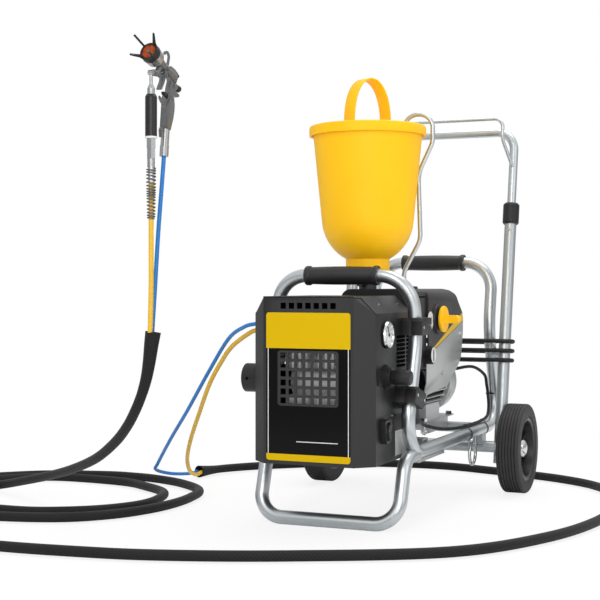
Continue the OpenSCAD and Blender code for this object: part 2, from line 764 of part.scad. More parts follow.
module pump_hood() {
    color("#3c3c3c") difference() {
        union() {
            difference() {
                hood_solid(0);
                hood_solid(hood_wall);
                // front part set back from the side
                translate([hood_x - 7, 300, 360]) cube([20, 152, 240]);
            }
            intersection() {
                hood_solid(0);
                translate([hood_x - 7 - hood_wall, 326, 362]) cube([hood_wall, 128, 190]);
            }
            disc_x(hood_x - 1, hood_x + 6, knob_y, knob_z, 40);
            disc_x(hood_x + 5, hood_x + 13, knob_y, knob_z, 16);
            disc_x(hood_x + 12, hood_x + 22, knob_y, knob_z, 6);
            disc_x(hood_x - 8, hood_x + 4, relief_y, relief_z, 20);
            disc_x(hood_x + 3, hood_x + 14, relief_y, relief_z, 6);
            translate([110, 440, hood_top_z - 2]) cylinder(h = 9, r1 = 16, r2 = 12);
        }
        translate([0, hopper_y, hood_top_z - 20]) cylinder(h = 40, r = inlet_r + 4);
        translate([pipe_x, pipe_y, hood_top_z - 20]) cylinder(h = 40, r = pipe_d / 2 + 2);
    }
}
cover_fold = 9.6;
module side_cover() {
    color("#c4c6c6") difference() {
        intersection() {
            along_x(100, hood_x) polygon([[436, 296], [436, 394.5], [stripe_low[0], stripe_low[1] - 1],
                [stripe_high[0], stripe_high[1] - 1], [768, 452], [755, 400], [744, 372], [728, 354],
                [704, 342], [688, 334], [660, 308]]);
            translate([0, 436, 331]) rotate([cover_fold, 0, 0]) along_y(-60, 420) polygon([
                [hood_x, 0], [hood_x, 200], [hood_x - 3, 200], [hood_x - 3, 0.8], [hood_x - 16, -60],
                [hood_x - 13, -61]]);
        }
        disc_x(hood_x - 10, hood_x + 10, relief_y, relief_z, relief_d / 2 + 1);
    }
}
motor_y0 = 512;
motor_y1 = 690;
module motor() {
    color("#8d9092") union() {
        along_y(motor_y0, motor_y1) translate([motor_x, motor_z]) circle(motor_fin_r - 12);
        along_y(motor_y0, motor_y0 + 14) translate([motor_x, motor_z]) circle(motor_fin_r - 4);
        along_y(motor_y1 - 12, motor_y1) translate([motor_x, motor_z]) circle(motor_fin_r - 4);
        for (k = [0 : 27]) translate([motor_x, motor_y0 + 10, motor_z]) rotate([0, k * 360 / 28, 0])
            translate([motor_fin_r - 16, 0, -1.3]) cube([16, motor_y1 - motor_y0 - 20, 2.6]);
        // feet
        for (x = [-52, 30]) translate([motor_x + x, motor_y0 + 50, base_top]) cube([22, 120, 44]);
        // terminal box on the hidden side
        translate([motor_x - 106, motor_y0 + 40, motor_z - 20]) cube([50, 90, 60]);
        disc_x(motor_x - 122, motor_x - 104, motor_y0 + 85, motor_z + 10, 11);
    }
}
module fan_cowl() {
    color("#d0d2d2") translate([motor_x, motor_y1 + 0.3, motor_z]) rotate([-90, 0, 0]) difference() {
        rotate_extrude() polygon([[motor_fin_r - 3, 0], [cowl_r - 3, 0], [cowl_r, 4], [cowl_r, 52],
            [cowl_r - 3, 62], [cowl_r - 12, 70], [0, 72], [0, 69], [cowl_r - 13, 67], [cowl_r - 6, 60],
            [cowl_r - 3, 51], [cowl_r - 3, 12], [motor_fin_r - 3, 10]]);
        for (k = [0 : 15]) rotate(k * 22.5) translate([22, -2.5, 60]) cube([46, 5, 20]);
    }
}
base_top = 219;
base_x0 = motor_x - 62;
base_x1 = motor_x + 60;
module motor_base() {
    color("#a9abab") {
        translate([base_x0, front_member_y - 20, base_top - 4]) cube([base_x1 - base_x0, 460, 4]);
        for (x = [base_x0, base_x1 - 4]) translate([x, 560, base_top - 33]) cube([4, 173, 30]);
        for (x = [base_x0 + 20, base_x1 - 20], y = [front_member_y, rear_member_y])
            translate([x, y, member_top]) cylinder(h = base_top - 4 - member_top, r = 14);
    }
}
module pump_head() {
    color("#4a4c4e") union() {
        translate([-20, 345, base_top]) cube([130, 150, 110]);
        translate([45, motor_y0 - 0.2, motor_z]) rotate([90, 0, 0]) cylinder(h = 72, r = 62);
        translate([0, hopper_y, base_top + 100]) cylinder(h = 180, r = 38);
        translate([0, hopper_y, base_top + 270]) cylinder(h = 100, r = inlet_r);
        translate([0, hopper_y, 587]) cylinder(h = 15, r = inlet_r + 3);
        translate([0, hopper_y, 598]) cylinder(h = 16, r = 46, $fn = 8);
        rod([0, hopper_y - 10, 590], [-7, hopper_y - 42, 590], 9);
        rod([pipe_x, pipe_y, base_top + 90], [pipe_x, pipe_y, 545], 9);
        rod([45, 470, base_top + 70], [pipe_x, pipe_y, base_top + 110], 12);
    }
}
module pressure_knob() {
    color("#ffc928") difference() {
        union() {
            disc_x(hood_x + 13 + gap, hood_x + 22, knob_y, knob_z, knob_d / 2 - 1);
            disc_x(hood_x + 16, hood_x + 20, knob_y, knob_z, knob_d / 2);
            translate([hood_x + 21, knob_y - 14, knob_z - 10.5]) cube([30, 28, 21]);
            translate([hood_x + 51, knob_y - 14, knob_z]) rotate([-90, 0, 0]) cylinder(h = 28, r = 10.5);
        }
        disc_x(hood_x, hood_x + 22 + gap, knob_y, knob_z, 6 + turn_fit);
    }
}
module relief_knob() {
    color("#1c1c1c") difference() {
        union() {
            disc_x(hood_x + 4 + gap, hood_x + 20, relief_y, relief_z, relief_d / 2);
            disc_x(hood_x + 19, hood_x + 22, relief_y, relief_z, relief_d / 2 - 3);
        }
        disc_x(hood_x, hood_x + 14 + gap, relief_y, relief_z, 6 + turn_fit);
    }
}
pipe_x = 66;
pipe_y = hopper_y + 99;
pipe_top_z = 1037;
pipe_end_z = 962;
module return_pipe() {
    color("#9aa0a4") bent_tube([[pipe_x, pipe_y, 545], [pipe_x, pipe_y, 622], [112, pipe_y, 705],
        [106, pipe_y, 880], [146, pipe_y, 962], [146, pipe_y, pipe_top_z], [pipe_x, pipe_y, pipe_top_z],
        [pipe_x, pipe_y, pipe_end_z]], [60, 60, 90, 60, 38, 38], pipe_d / 2);
}

// ---- hopper ----
hopper_low_z = 748;
hopper_neck_z = 653;
hopper_foot_z = 614;
// Arc of the round bottom from the neck to the wall, inset by t
function bottom_arc(t, n) = let(lean = atan((hopper_rim_r - hopper_low_r) / (hopper_top_z - hopper_low_z)),
        dx = hopper_low_r - hopper_neck_r, dz = hopper_low_z - hopper_neck_z,
        arc_r = (dx * dx + dz * dz) / (2 * (dx * cos(lean) - dz * sin(lean))),
        cx = hopper_low_r - arc_r * cos(lean), cz = hopper_low_z + arc_r * sin(lean),
        a0 = atan2(hopper_neck_z - cz, hopper_neck_r - cx), a1 = -lean)
    [for (i = [0 : n]) let(a = a0 + (a1 - a0) * i / n) [cx + (arc_r - t) * cos(a), cz + (arc_r - t) * sin(a)]];
module hopper() {
    color("#ffc928") translate([0, hopper_y, 0]) rotate_extrude() polygon(concat(
        [[inlet_r + 4, hopper_foot_z], [hopper_neck_r - 6, hopper_foot_z], [hopper_neck_r, hopper_foot_z + 6]],
        bottom_arc(0, 10),
        [[hopper_rim_r, hopper_top_z], [hopper_rim_r - hopper_wall, hopper_top_z]],
        [for (i = [10 : -1 : 1]) bottom_arc(hopper_wall, 10)[i]],
        [[hopper_neck_r - hopper_wall, hopper_neck_z - 2], [hopper_neck_r - hopper_wall, hopper_foot_z + 12],
         [inlet_r + 4, hopper_foot_z + 6]]));
}
lid_r = hopper_rim_r + 9;
lid_top_z = hopper_top_z + gap + 9;
strap_r = 66;
strap_turn = 63;
strap_w = 40;
strap_h = 126;
module strap() {
    // half ellipse arch, band 4 thick
    outer = [for (i = [0 : 24]) [-strap_r * cos(i * 7.5), strap_h * pow(sin(i * 7.5), 0.8)]];
    inner = [for (i = [24 : -1 : 0]) [-(strap_r - 4) * cos(i * 7.5), (strap_h - 4) * pow(sin(i * 7.5), 0.8)]];
    translate([0, hopper_y, lid_top_z - 1]) rotate(strap_turn) translate([0, strap_w / 2, 0])
        rotate([90, 0, 0]) linear_extrude(strap_w) polygon(concat(outer, inner));
}
module hopper_lid() {
    color("#ffc928") difference() {
        union() {
            translate([0, hopper_y, 0]) rotate_extrude() polygon([[0, lid_top_z - 4], [0, lid_top_z],
                [lid_r - 8, lid_top_z], [lid_r - 2, lid_top_z - 2], [lid_r, lid_top_z - 7], [lid_r, lid_top_z - lid_h],
                [hopper_rim_r + gap + 3, lid_top_z - lid_h], [hopper_rim_r + gap, lid_top_z - lid_h + 3],
                [hopper_rim_r + gap, hopper_top_z + gap], [hopper_rim_r - 14, hopper_top_z + gap],
                [hopper_rim_r - 18, lid_top_z - 4]]);
            strap();
        }
        translate([pipe_x - pipe_d / 2 - 3, pipe_y - pipe_d / 2 - 3, lid_top_z - lid_h - 1])
            cube([lid_r, pipe_d + 6, lid_h + 3]);
    }
}

// ---- spray gun ----
gun_x = -291;
gun_y = -124;
gun_z = 1071;
barrel_tilt = 21;
// Places a side outline of the gun: outline X is forward, outline Y is up, centred on the gun's middle
module gun_plate(w) {
    translate([gun_x - w / 2, gun_y, gun_z])
        multmatrix([[0, 0, 1, 0], [-1, 0, 0, 0], [0, 1, 0, 0], [0, 0, 0, 1]]) linear_extrude(w) children();
}
module on_barrel(u, lift = 0) {
    translate([gun_x, gun_y, gun_z]) rotate([90 - barrel_tilt, 0, 0]) translate([0, lift, u]) children();
}
// A round piece on the barrel's axis, from u0 to u1 forward of the handle
module barrel_piece(u0, u1, r0, r1, lift = 0) {
    on_barrel(u0, lift) cylinder(h = u1 - u0, r1 = r0, r2 = r1);
}
function gun_point(forward, up) = [gun_x, gun_y - forward, gun_z + up];
trigger_pin = gun_point(45, -3);
trigger_w = 13;
lock_pin = gun_point(17, -56);
lock_w = 6;
pin_r = 2.5;
tip_r = 8;
nut_u0 = 78;
guard_u0 = 104;
face_u = 119;
face_depth = 5;
nozzle_r = 4;
cap_r = guard_d / 2 - 1;
// The air fitting leans forward under the handle
air_top = gun_point(32, -126);
air_end = gun_point(40, -189);
function along_air(t) = air_top + (air_end - air_top) * t;
function air_knob_point(f) = gun_point(f, 0.15 * f - 20.3);
swivel_r = 6;
swivel_up = -4;
module gun_body() {
    color("#6b6d6f") difference() {
        union() {
            // handle with its thinner neck and the hump over it
            gun_plate(gun_grip_w) polygon([[9, -48], [6, -65], [7, -80], [13, -100], [26, -128], [42, -123],
                [38, -90], [35, -66], [28, -56], [18, -50]]);
            gun_plate(gun_grip_w - 4) polygon([[7, -46], [4, -65], [5, -80], [11, -101], [24, -127], [28, -124],
                [30, -58], [20, -46]]);
            gun_plate(12) polygon([[-8, -14], [-5, 6], [4, 14], [30, 8], [22, 0], [16, -12], [23, -28], [26, -46],
                [34, -58], [9, -58], [2, -40], [-6, -30]]);
            gun_plate(16) polygon([[-10, -6], [-7, 10], [-3, 16], [8, 19], [20, 22], [30, 18], [14, -8],
                [-6, -14]]);
            // finger rest
            gun_plate(12) polygon([[20, -66], [24, -60], [40, -56], [54, -50], [56, -56], [48, -64], [38, -70],
                [36, -82]]);
            // barrel, shoulder behind the nut and the fixed nozzle through it
            barrel_piece(-8, 60, 11, 11);
            barrel_piece(52, nut_u0 - gap, 11, 14);
            barrel_piece(60, face_u - face_depth - gap, tip_r, tip_r);
            barrel_piece(face_u - face_depth - 1, face_u, nozzle_r, nozzle_r);
            barrel_piece(face_u - 0.1, face_u + 2, nozzle_r, 3.2);
            // hanging hook
            gun_plate(5) polygon([[22, 20], [17, 34], [14.5, 44], [17, 51], [24, 56], [31, 56], [37, 53], [39.5, 47],
                [35.5, 46], [33, 50], [29, 52], [25, 51.5], [20.5, 48], [19, 44], [21, 36], [28, 20]]);
            // ears that carry the trigger
            for (x = [-trigger_w / 2 - gap - 3, trigger_w / 2 + gap])
                translate([gun_x + x, 0, 0]) {
                    disc_x(0, 3, trigger_pin[1], trigger_pin[2], 5.5);
                    translate([0, trigger_pin[1] - 5.5, trigger_pin[2]]) cube([3, 11, 20]);
                }
            // boss and link of the paint inlet
            rod(gun_point(58, 16), gun_point(72, 0), 7);
            rod(gun_point(68, -2), gun_point(90, -3), 7.5);
            rod(gun_point(89, -3), gun_point(95, swivel_up), 4.5);
            translate(gun_point(70, -1)) sphere(7.5);
            // boss of the fan knob, boss of the air knob, lever below it
            barrel_piece(-12, 10, 7, 7, 13);
            rod(air_knob_point(2), air_knob_point(-12), 9);
            gun_plate(8) polygon([[-4, -31], [-27, -38], [-27, -43], [-16, -46], [4, -42]]);
            // bracket at the foot of the handle
            gun_plate(6) polygon([[34, -116], [56, -124], [60, -130], [58, -146], [51, -146], [50, -132],
                [36, -125]]);
            // nut at the side of the barrel
            translate(gun_point(38, 12)) rotate([0, 90, 0]) cylinder(h = 14, r = 5, $fn = 6);
            // seat of the air fitting
            rod(along_air(-0.14), air_top, 9);
        }
        disc_x(gun_x - 20, gun_x + 20, trigger_pin[1], trigger_pin[2], pin_r + turn_fit);
        gun_plate(trigger_w + 2 * gap) polygon([[34, -12], [36, 4.8], [57, 7], [58, -12]]);
        disc_x(gun_x - 20, gun_x + 20, lock_pin[1], lock_pin[2], 2 + turn_fit);
        gun_plate(lock_w + 2 * gap) polygon([[11, -51], [20, -44], [32, -44], [32, -62], [18, -63], [11, -60]]);
        gun_plate(lock_w + 2 * gap) polygon([[22, -40], [60, -40], [60, -54], [50, -58], [40, -62], [22, -66]]);
        barrel_piece(-30, -4, 3.5 + turn_fit, 3.5 + turn_fit, 13);
        rod(air_knob_point(-4), air_knob_point(-30), 4 + turn_fit);
        disc_x(gun_x - 10, gun_x + 10, tube_y, gun_z + swivel_up, swivel_r + 0.02);
        rod(air_top, air_end, 10);
    }
}
module trigger() {
    color("#7a7c7e") union() {
        disc_x(gun_x - trigger_w / 2, gun_x + trigger_w / 2, trigger_pin[1], trigger_pin[2], 6.5);
        disc_x(gun_x - 12, gun_x + 12, trigger_pin[1], trigger_pin[2], pin_r);
        gun_plate(trigger_w - 2) polygon([[40, -4], [50, -3], [51, -8], [54, -18], [66, -36], [64, -39], [58, -37],
            [46, -20], [41, -10]]);
    }
}
module trigger_lock() {
    color("#151515") union() {
        gun_plate(lock_w) polygon([[13, -58], [14, -53], [20, -49], [43, -39.5], [48, -41], [46, -46], [22, -59],
            [16, -60]]);
        disc_x(gun_x - 8, gun_x + 8, lock_pin[1], lock_pin[2], 2);
    }
}
module air_cap() {
    color("#b4b7b9") difference() {
        union() {
            barrel_piece(nut_u0, nut_u0 + 2, cap_r - 8, cap_r - 4);
            barrel_piece(nut_u0 + 2, nut_u0 + 5, cap_r - 4, cap_r - 1);
            barrel_piece(nut_u0 + 5, guard_u0 - gap, cap_r - 1, cap_r);
        }
        barrel_piece(nut_u0 - 5, guard_u0 + 5, tip_r + turn_fit, tip_r + turn_fit);
    }
}
prong_r0 = 20.7;
prong_r1 = 35;
prong_len = 31;
module tip_guard() {
    color("#1c1c1c") difference() {
        union() {
            barrel_piece(guard_u0, face_u - 2, guard_d / 2, guard_d / 2 - 0.5);
            barrel_piece(face_u - 2, face_u, guard_d / 2 - 0.5, guard_d / 2 - 2.5);
            on_barrel(face_u - 6) for (k = [0 : 3]) rotate(45 + k * 90) translate([0, 2.5, 0]) rotate([90, 0, 0])
                linear_extrude(5) polygon([[prong_r0 - 5, 0], [prong_r0 + 1, 0], [prong_r0 + 4, 12],
                    [prong_r1 + 1.5, prong_len + 6], [prong_r1 - 1.5, prong_len + 6.5], [prong_r0 - 2, 14]]);
        }
        barrel_piece(guard_u0 - 5, face_u + 5, tip_r + turn_fit, tip_r + turn_fit);
        barrel_piece(face_u - face_depth, face_u + 5, insert_r, insert_r);
    }
}
insert_r = 16.5;
module tip_insert() {
    color("#b04a24") difference() {
        barrel_piece(face_u - face_depth, face_u - 1.5, insert_r, insert_r);
        barrel_piece(face_u - 8, face_u + 5, nozzle_r + turn_fit, nozzle_r + turn_fit);
        on_barrel(face_u - 3) for (k = [0 : 3]) rotate(k * 90) translate([11, -3, 0]) cube([8, 6, 5]);
    }
}
module fan_knob() {
    color("#222222") union() {
        barrel_piece(-22, -12 - gap, 5, 5.6, 13);
        barrel_piece(-14, -6, 3.5, 3.5, 13);
    }
}
module air_knob() {
    color("#222222") union() {
        rod(air_knob_point(-12 - gap), air_knob_point(-30), 8);
        rod(air_knob_point(-6), air_knob_point(-14), 4);
    }
}
tube_y = gun_y - 99;
filter_top = 1018;
module paint_tube() {
    foot = filter_top - filter_len;
    color("#8c8f91") {
        // swivel, rod, dome nut, filter handle and fittings, one above the other
        disc_x(gun_x - 6, gun_x + 6, tube_y, gun_z + swivel_up, swivel_r);
        rod([gun_x, tube_y, gun_z + swivel_up], [gun_x, tube_y, filter_top + 20], 3.8);
        translate([gun_x, tube_y, filter_top]) cylinder(h = 13, r = 8.6);
        translate([gun_x, tube_y, filter_top + 13]) cylinder(h = 8, r1 = 8.6, r2 = 5.5);
        translate([gun_x, tube_y, foot + 4]) cylinder(h = filter_len - 10, r = filter_d / 2);
        translate([gun_x, tube_y, filter_top - 6]) cylinder(h = 6, r1 = filter_d / 2, r2 = filter_d / 2 - 3);
        translate([gun_x, tube_y, foot]) cylinder(h = 4, r = filter_d / 2 + 0.4);
        translate([gun_x, tube_y, foot - 22]) cylinder(h = 22, r = 11.5, $fn = 6);
        translate([gun_x, tube_y, foot - 46]) cylinder(h = 24, r = 10.5, $fn = 6);
        translate([gun_x, tube_y, foot - 66]) cylinder(h = 20, r = 8.6);
        // the air hose's fitting at the foot of the gun's handle
        rod(air_top, along_air(0.62), 9.6);
        rod(along_air(0.6), air_end, 10.4);
    }
}
guard_top = filter_top - filter_len - 66;
guard_len = 118;
guard_turns = 17;
guard_wire = 1.9;
function guard_radius(t) = t < 0.3 ? 9.6 : 9.6 - 1.8 * (t - 0.3) / 0.7;
// Turns sit closer at both ends of the spring
guard_path = [for (i = [0 : guard_turns * 8]) let(t = i / (guard_turns * 8), a = 360 * guard_turns * t,
        pitch_t = t - 0.02 * sin(720 * t))
    [gun_x + guard_radius(t) * cos(a), tube_y + guard_radius(t) * sin(a),
     guard_top - 2 - (guard_len - 4) * pitch_t]];
guard_least = min([for (i = [0 : len(guard_path) - 9])
    norm(guard_path[i + 8] - guard_path[i]) - 2 * guard_wire]);
echo(spring_guard_least_gap = guard_least);
module spring_guard() {
    color("#7d7f80") sweep(guard_path, guard_wire, 6);
}

// ---- hoses and cords: routes in millimetres, floor at Z = 0 ----
sheath_mouth_z = 480;
PAINT_GUN_ROUTE = [[gun_x, tube_y, guard_top], [gun_x, tube_y, 820], [gun_x, tube_y, 700],
    [gun_x, tube_y, 580], [gun_x - 1, tube_y - 3, sheath_mouth_z - 2]];
air_dir = unit(air_end - air_top);
AIR_GUN_ROUTE = [air_end, air_end + air_dir * 8, air_end + air_dir * 16, [gun_x, -176, 800],
    [gun_x - 4, -184, 700], [gun_x - 8, -191, 580], [gun_x - 9, -202, sheath_mouth_z - 2]];
SHEATH_ROUTE = [[-292, -212, 479], [-296, -214, 447], [-300, -216, 411], [-309, -213, 374], [-326, -204, 336],
    [-351, -189, 298], [-389, -163, 256], [-446, -122, 212], [-543, -50, 160], [-674, 52, 114], [-813, 150, 75],
    [-961, 222, 40], [-1050, 250, 21], [-1110, 215, 14], [-1120, 120, 14], [-1070, 20, 14], [-960, -40, 14],
    [-824, -49, 14], [-723, -37, 14], [-620, 23, 14], [-559, 98, 14], [-534, 176, 14], [-545, 270, 14],
    [-582, 355, 14], [-679, 428, 14], [-790, 480, 14], [-1000, 488, 14], [-1100, 430, 14], [-1175, 330, 14],
    [-1200, 190, 14], [-1175, 40, 14], [-1090, -80, 14], [-930, -140, 14], [-763, -132, 14], [-619, -85, 14],
    [-533, -2, 14], [-487, 96, 14], [-468, 200, 14], [-474, 310, 14], [-507, 424, 14], [-612, 518, 14],
    [-719, 566, 14], [-809, 582, 14], [-900, 578, 14], [-1065, 523, 14], [-1180, 428, 14], [-1290, 300, 14],
    [-1345, 130, 14], [-1330, -60, 14], [-1220, -240, 14], [-1010, -370, 14], [-780, -430, 14], [-563, -440, 14],
    [-380, -425, 14], [-190, -389, 14], [74, -286, 14], [378, -110, 14], [530, 130, 14], [600, 400, 14],
    [600, 680, 14], [520, 900, 14], [380, 1030, 14], [154, 1120, 14], [-64, 1170, 14], [-320, 1120, 14],
    [-520, 980, 14], [-620, 850, 16], [-664, 720, 19]];
AIR_BOX_ROUTE = [[-side_x - outlet_len, outlet_blue[0], outlet_blue[1]],
    [-186, outlet_blue[0], outlet_blue[1]], [-194, outlet_blue[0], outlet_blue[1]],
    [-228, 132, 481], [-295, 180, 449], [-387, 250, 360], [-502, 345, 244], [-606, 440, 152], [-706, 545, 66],
    [-738, 588, 38], [-722, 645, 20], [-690, 690, 15], [-672, 706, 18], [-670, 722, 20]];
PAINT_BOX_ROUTE = [[-side_x - outlet_len, outlet_yellow[0], outlet_yellow[1]],
    [-185, outlet_yellow[0], outlet_yellow[1]], [-192, outlet_yellow[0], outlet_yellow[1]],
    [-220, 148, 466], [-290, 190, 429], [-340, 226, 385], [-396, 270, 324], [-474, 360, 236], [-548, 450, 152],
    [-610, 545, 84], [-640, 615, 38], [-648, 660, 20], [-652, 690, 16], [-656, 722, 18]];
SHEATH_MOUTH = [18, 17, 16, 15.2, 14.4, 13.7, 13, 12.5];
sheath_path = spline(SHEATH_ROUTE, 2);
sheath_n = len(sheath_path);
sheath_radii = [for (i = [0 : sheath_n - 1]) let(k = min(i, (sheath_n - 1 - i) * 2))
    k < 8 ? SHEATH_MOUTH[k] * sheath_d / 24 : sheath_d / 2];

module hose_sheath() {
    color("#1b1b1b") sweep(sheath_path, sheath_radii, 8);
}
module paint_hose_gun() {
    color("#e3b62f") sweep(spline(PAINT_GUN_ROUTE, 3), paint_hose_d / 2, 8, [1, 0, 0]);
}
module air_hose_gun() {
    color("#2a6fc9") sweep(spline(AIR_GUN_ROUTE, 3), air_hose_d / 2, 8, [1, 0, 0]);
}
module paint_hose_box() {
    color("#c9a227") sweep(spline(PAINT_BOX_ROUTE, 3), paint_hose_d / 2, 8);
}
module air_hose_box() {
    color("#2a6fc9") sweep(spline(AIR_BOX_ROUTE, 3), air_hose_d / 2, 8);
}

// Power cord wound round the two socket tubes and the two rear uprights.
// At turn angle a the cord lies where the hull of those four tubes faces direction a.
wrap_r = tube_r + power_d / 2 + 1;
wrap_z0 = 434;
wrap_steps = 24;
lean_room = 3;
function socket_y(z) = axle_y + (z - axle_z) * tan(handle_lean);
function upright_y(z) = rear_waist_y + lower_slope * (waist_z - z);
function wrap_point(a, z) = let(d = [cos(a), sin(a)],
        c = [[handle_half_w, socket_y(z), 0], [hoop_half_w, upright_y(z), lean_room],
             [-hoop_half_w, upright_y(z), lean_room], [-handle_half_w, socket_y(z), 0]],
        reach = [for (p = c) p[0] * d[0] + p[1] * d[1] + p[2]], best = max(reach),
        p = c[[for (i = [0 : 3]) if (reach[i] >= best - 0.001) i][0]])
    [p[0] + (wrap_r + p[2]) * d[0], p[1] + (wrap_r + p[2]) * d[1], z];
wrap_turn_start = 174.5;
// The turns run level in front and step down behind the uprights
wrap_path = [for (i = [0 : power_turns * wrap_steps]) let(t = i / wrap_steps, a = wrap_turn_start + 360 * t)
    wrap_point(a, wrap_z0 - power_pitch * (t - 0.13 * sin(a - 300)))];
wrap_least = min([for (i = [0 : len(wrap_path) - 1 - wrap_steps])
    norm(wrap_path[i + wrap_steps] - wrap_path[i]) - power_d]);
echo(power_cord_least_gap = wrap_least);
gland = [motor_x - 122, motor_y0 + 85, motor_z + 10];
POWER_LEAD = [gland, gland + [-8, 0, 0], gland + [-16, 0, 0], [-100, 602, 334], [-140, 640, 356],
    [-190, 710, 392], [-236, 790, 420], [-262, 840, 431]];
POWER_TAIL = [[-270, 896, 342], [-275, 876, 314], [-277, 850, 298], [-277, 832, 293], [-277, 824, 292]];
power_path = concat(spline(POWER_LEAD, 2), wrap_path, POWER_TAIL);
module power_cord() {
    color("#202020") sweep(power_path, power_d / 2, 6);
}
module power_plug() {
    tail = POWER_TAIL[4];
    dir = unit(POWER_TAIL[4] - POWER_TAIL[3]);
    color("#1a1a1a") union() {
        rod(tail, tail + dir * 12, power_d / 2 + 3);
        rod(tail + dir * 11.9, tail + dir * 46, 15);
        for (s = [-1, 1]) rod(tail + dir * 45 + [s * 9.5, 0, 0], tail + dir * 65 + [s * 9.5, 0, 0], 2.4);
    }
}
LINK_ROUTE = [[side_x, 262, 262], [side_x + 5, 262, 262], [side_x + 10, 262, 262], [172, 300, 250],
    [160, 360, 236], [152, 423, 222], [160, 520, 205], [172, 620, 197], [178, 700, 195], [179, 840, 195],
    [178, 920, 202], [173, 958, 226],
    [166, 975, 264], [165, 965, 291], [163, 946, 322], [146, 880, 348], [118, 806, 346], [100, 764, 342]];
module link_cable() {
    color("#202020") sweep(spline(LINK_ROUTE, 3), 4.5, 8);
}

front_hoop();
rear_hoop();
front_foot();
rear_frame();
cross_members();
hoop_grips();
handle_tube();
hose_hanger();
clamp_sleeves();
snap_button_left();
snap_button_right();
axle();
tyre_left();
tyre_right();
rim_left();
rim_right();
tie_ring();
front_cover();
body_shell();
front_panel();
compressor();
intake_silencer();
gauge_case();
gauge_needle();
regulator_body();
regulator_knob();
switch_bezel();
rocker();
tube_clamps();
air_outlets();
screws();
pump_hood();
side_cover();
motor();
fan_cowl();
motor_base();
pump_head();
pressure_knob();
relief_knob();
return_pipe();
hopper();
hopper_lid();
gun_body();
trigger();
trigger_lock();
air_cap();
tip_guard();
tip_insert();
fan_knob();
air_knob();
paint_tube();
spring_guard();
paint_hose_gun();
air_hose_gun();
hose_sheath();
paint_hose_box();
air_hose_box();
power_cord();
power_plug();
link_cable();
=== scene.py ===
# An airless paint sprayer: a dark steel compressor box and a motor-driven paint pump on a bright tubular cart,
# with a yellow hopper over the pump and a spray gun held up at the front left, its two hoses hanging from it.
# Metres, in the cart's own frame: X to the right side, Y to the rear, Z up, floor at Z = 0.
import math

import bmesh
import bpy
import numpy as np
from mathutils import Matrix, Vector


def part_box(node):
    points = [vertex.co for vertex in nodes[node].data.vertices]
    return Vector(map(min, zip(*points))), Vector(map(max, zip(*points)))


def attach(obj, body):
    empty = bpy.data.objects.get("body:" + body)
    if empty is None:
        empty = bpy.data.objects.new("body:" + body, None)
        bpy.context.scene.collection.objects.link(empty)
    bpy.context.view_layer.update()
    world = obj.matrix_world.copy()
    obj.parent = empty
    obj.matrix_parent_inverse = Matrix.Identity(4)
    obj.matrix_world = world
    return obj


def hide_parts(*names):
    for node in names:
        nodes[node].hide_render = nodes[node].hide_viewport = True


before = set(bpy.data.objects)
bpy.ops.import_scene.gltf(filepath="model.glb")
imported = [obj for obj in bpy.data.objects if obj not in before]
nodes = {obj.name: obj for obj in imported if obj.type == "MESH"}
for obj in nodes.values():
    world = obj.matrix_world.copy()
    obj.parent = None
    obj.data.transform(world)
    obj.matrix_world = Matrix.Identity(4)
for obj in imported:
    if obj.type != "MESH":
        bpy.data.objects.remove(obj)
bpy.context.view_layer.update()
scene = bpy.context.scene
scene.view_settings.view_transform = "Standard"

# ---------------------------------------------------------------------------
# Studio. A pale floor, an even room, large soft lamps in front, on the right and above, and a smaller low one.
# The room is white to the camera and through glass and lights the cart at a lower level. Reflections find it bright
# overhead and grey low down, which gives the bright tube its dark edges.


def linear(hex_colour):
    """Linear red, green, blue and 1 from an sRGB hex value."""
    s = np.array([int(hex_colour[i : i + 2], 16) for i in (1, 3, 5)]) / 255.0
    rgb = np.where(s <= 0.04045, s / 12.92, ((s + 0.055) / 1.055) ** 2.4)
    return (*[float(c) for c in rgb], 1.0)


def add(tree, kind, settings=(), **inputs):
    """Adds a node; settings are its own fields, inputs its sockets (_ for a space), as values or as sockets to link."""
    node = tree.nodes.new(kind)
    for field, value in dict(settings).items():
        setattr(node, field, value)
    for name, value in inputs.items():
        socket = node.inputs[int(name[1:])] if name[1:].isdigit() else node.inputs[name.replace("_", " ")]
        if isinstance(value, bpy.types.NodeSocket):
            tree.links.new(value, socket)
        else:
            socket.default_value = value
    return node


camera_data = bpy.data.cameras.new("camera")
camera_data.lens = 79.0
camera_data.sensor_width = 36.0
camera_data.shift_y = -0.0267
camera_data.clip_end = 60.0
camera = bpy.data.objects.new("camera", camera_data)
camera.location = (1.198, -2.828, 0.588)
camera.rotation_euler = (math.pi / 2, 0.0, math.radians(23.3))
scene.collection.objects.link(camera)
scene.camera = camera

room = bpy.data.worlds.new("studio_room")
scene.world = room
room.use_nodes = True
tree = room.node_tree
tree.nodes.clear()
ray = add(tree, "ShaderNodeLightPath")
seen = add(tree, "ShaderNodeMath", {"operation": "MAXIMUM"}, _0=ray.outputs["Is Camera Ray"],
           _1=ray.outputs["Is Transmission Ray"])
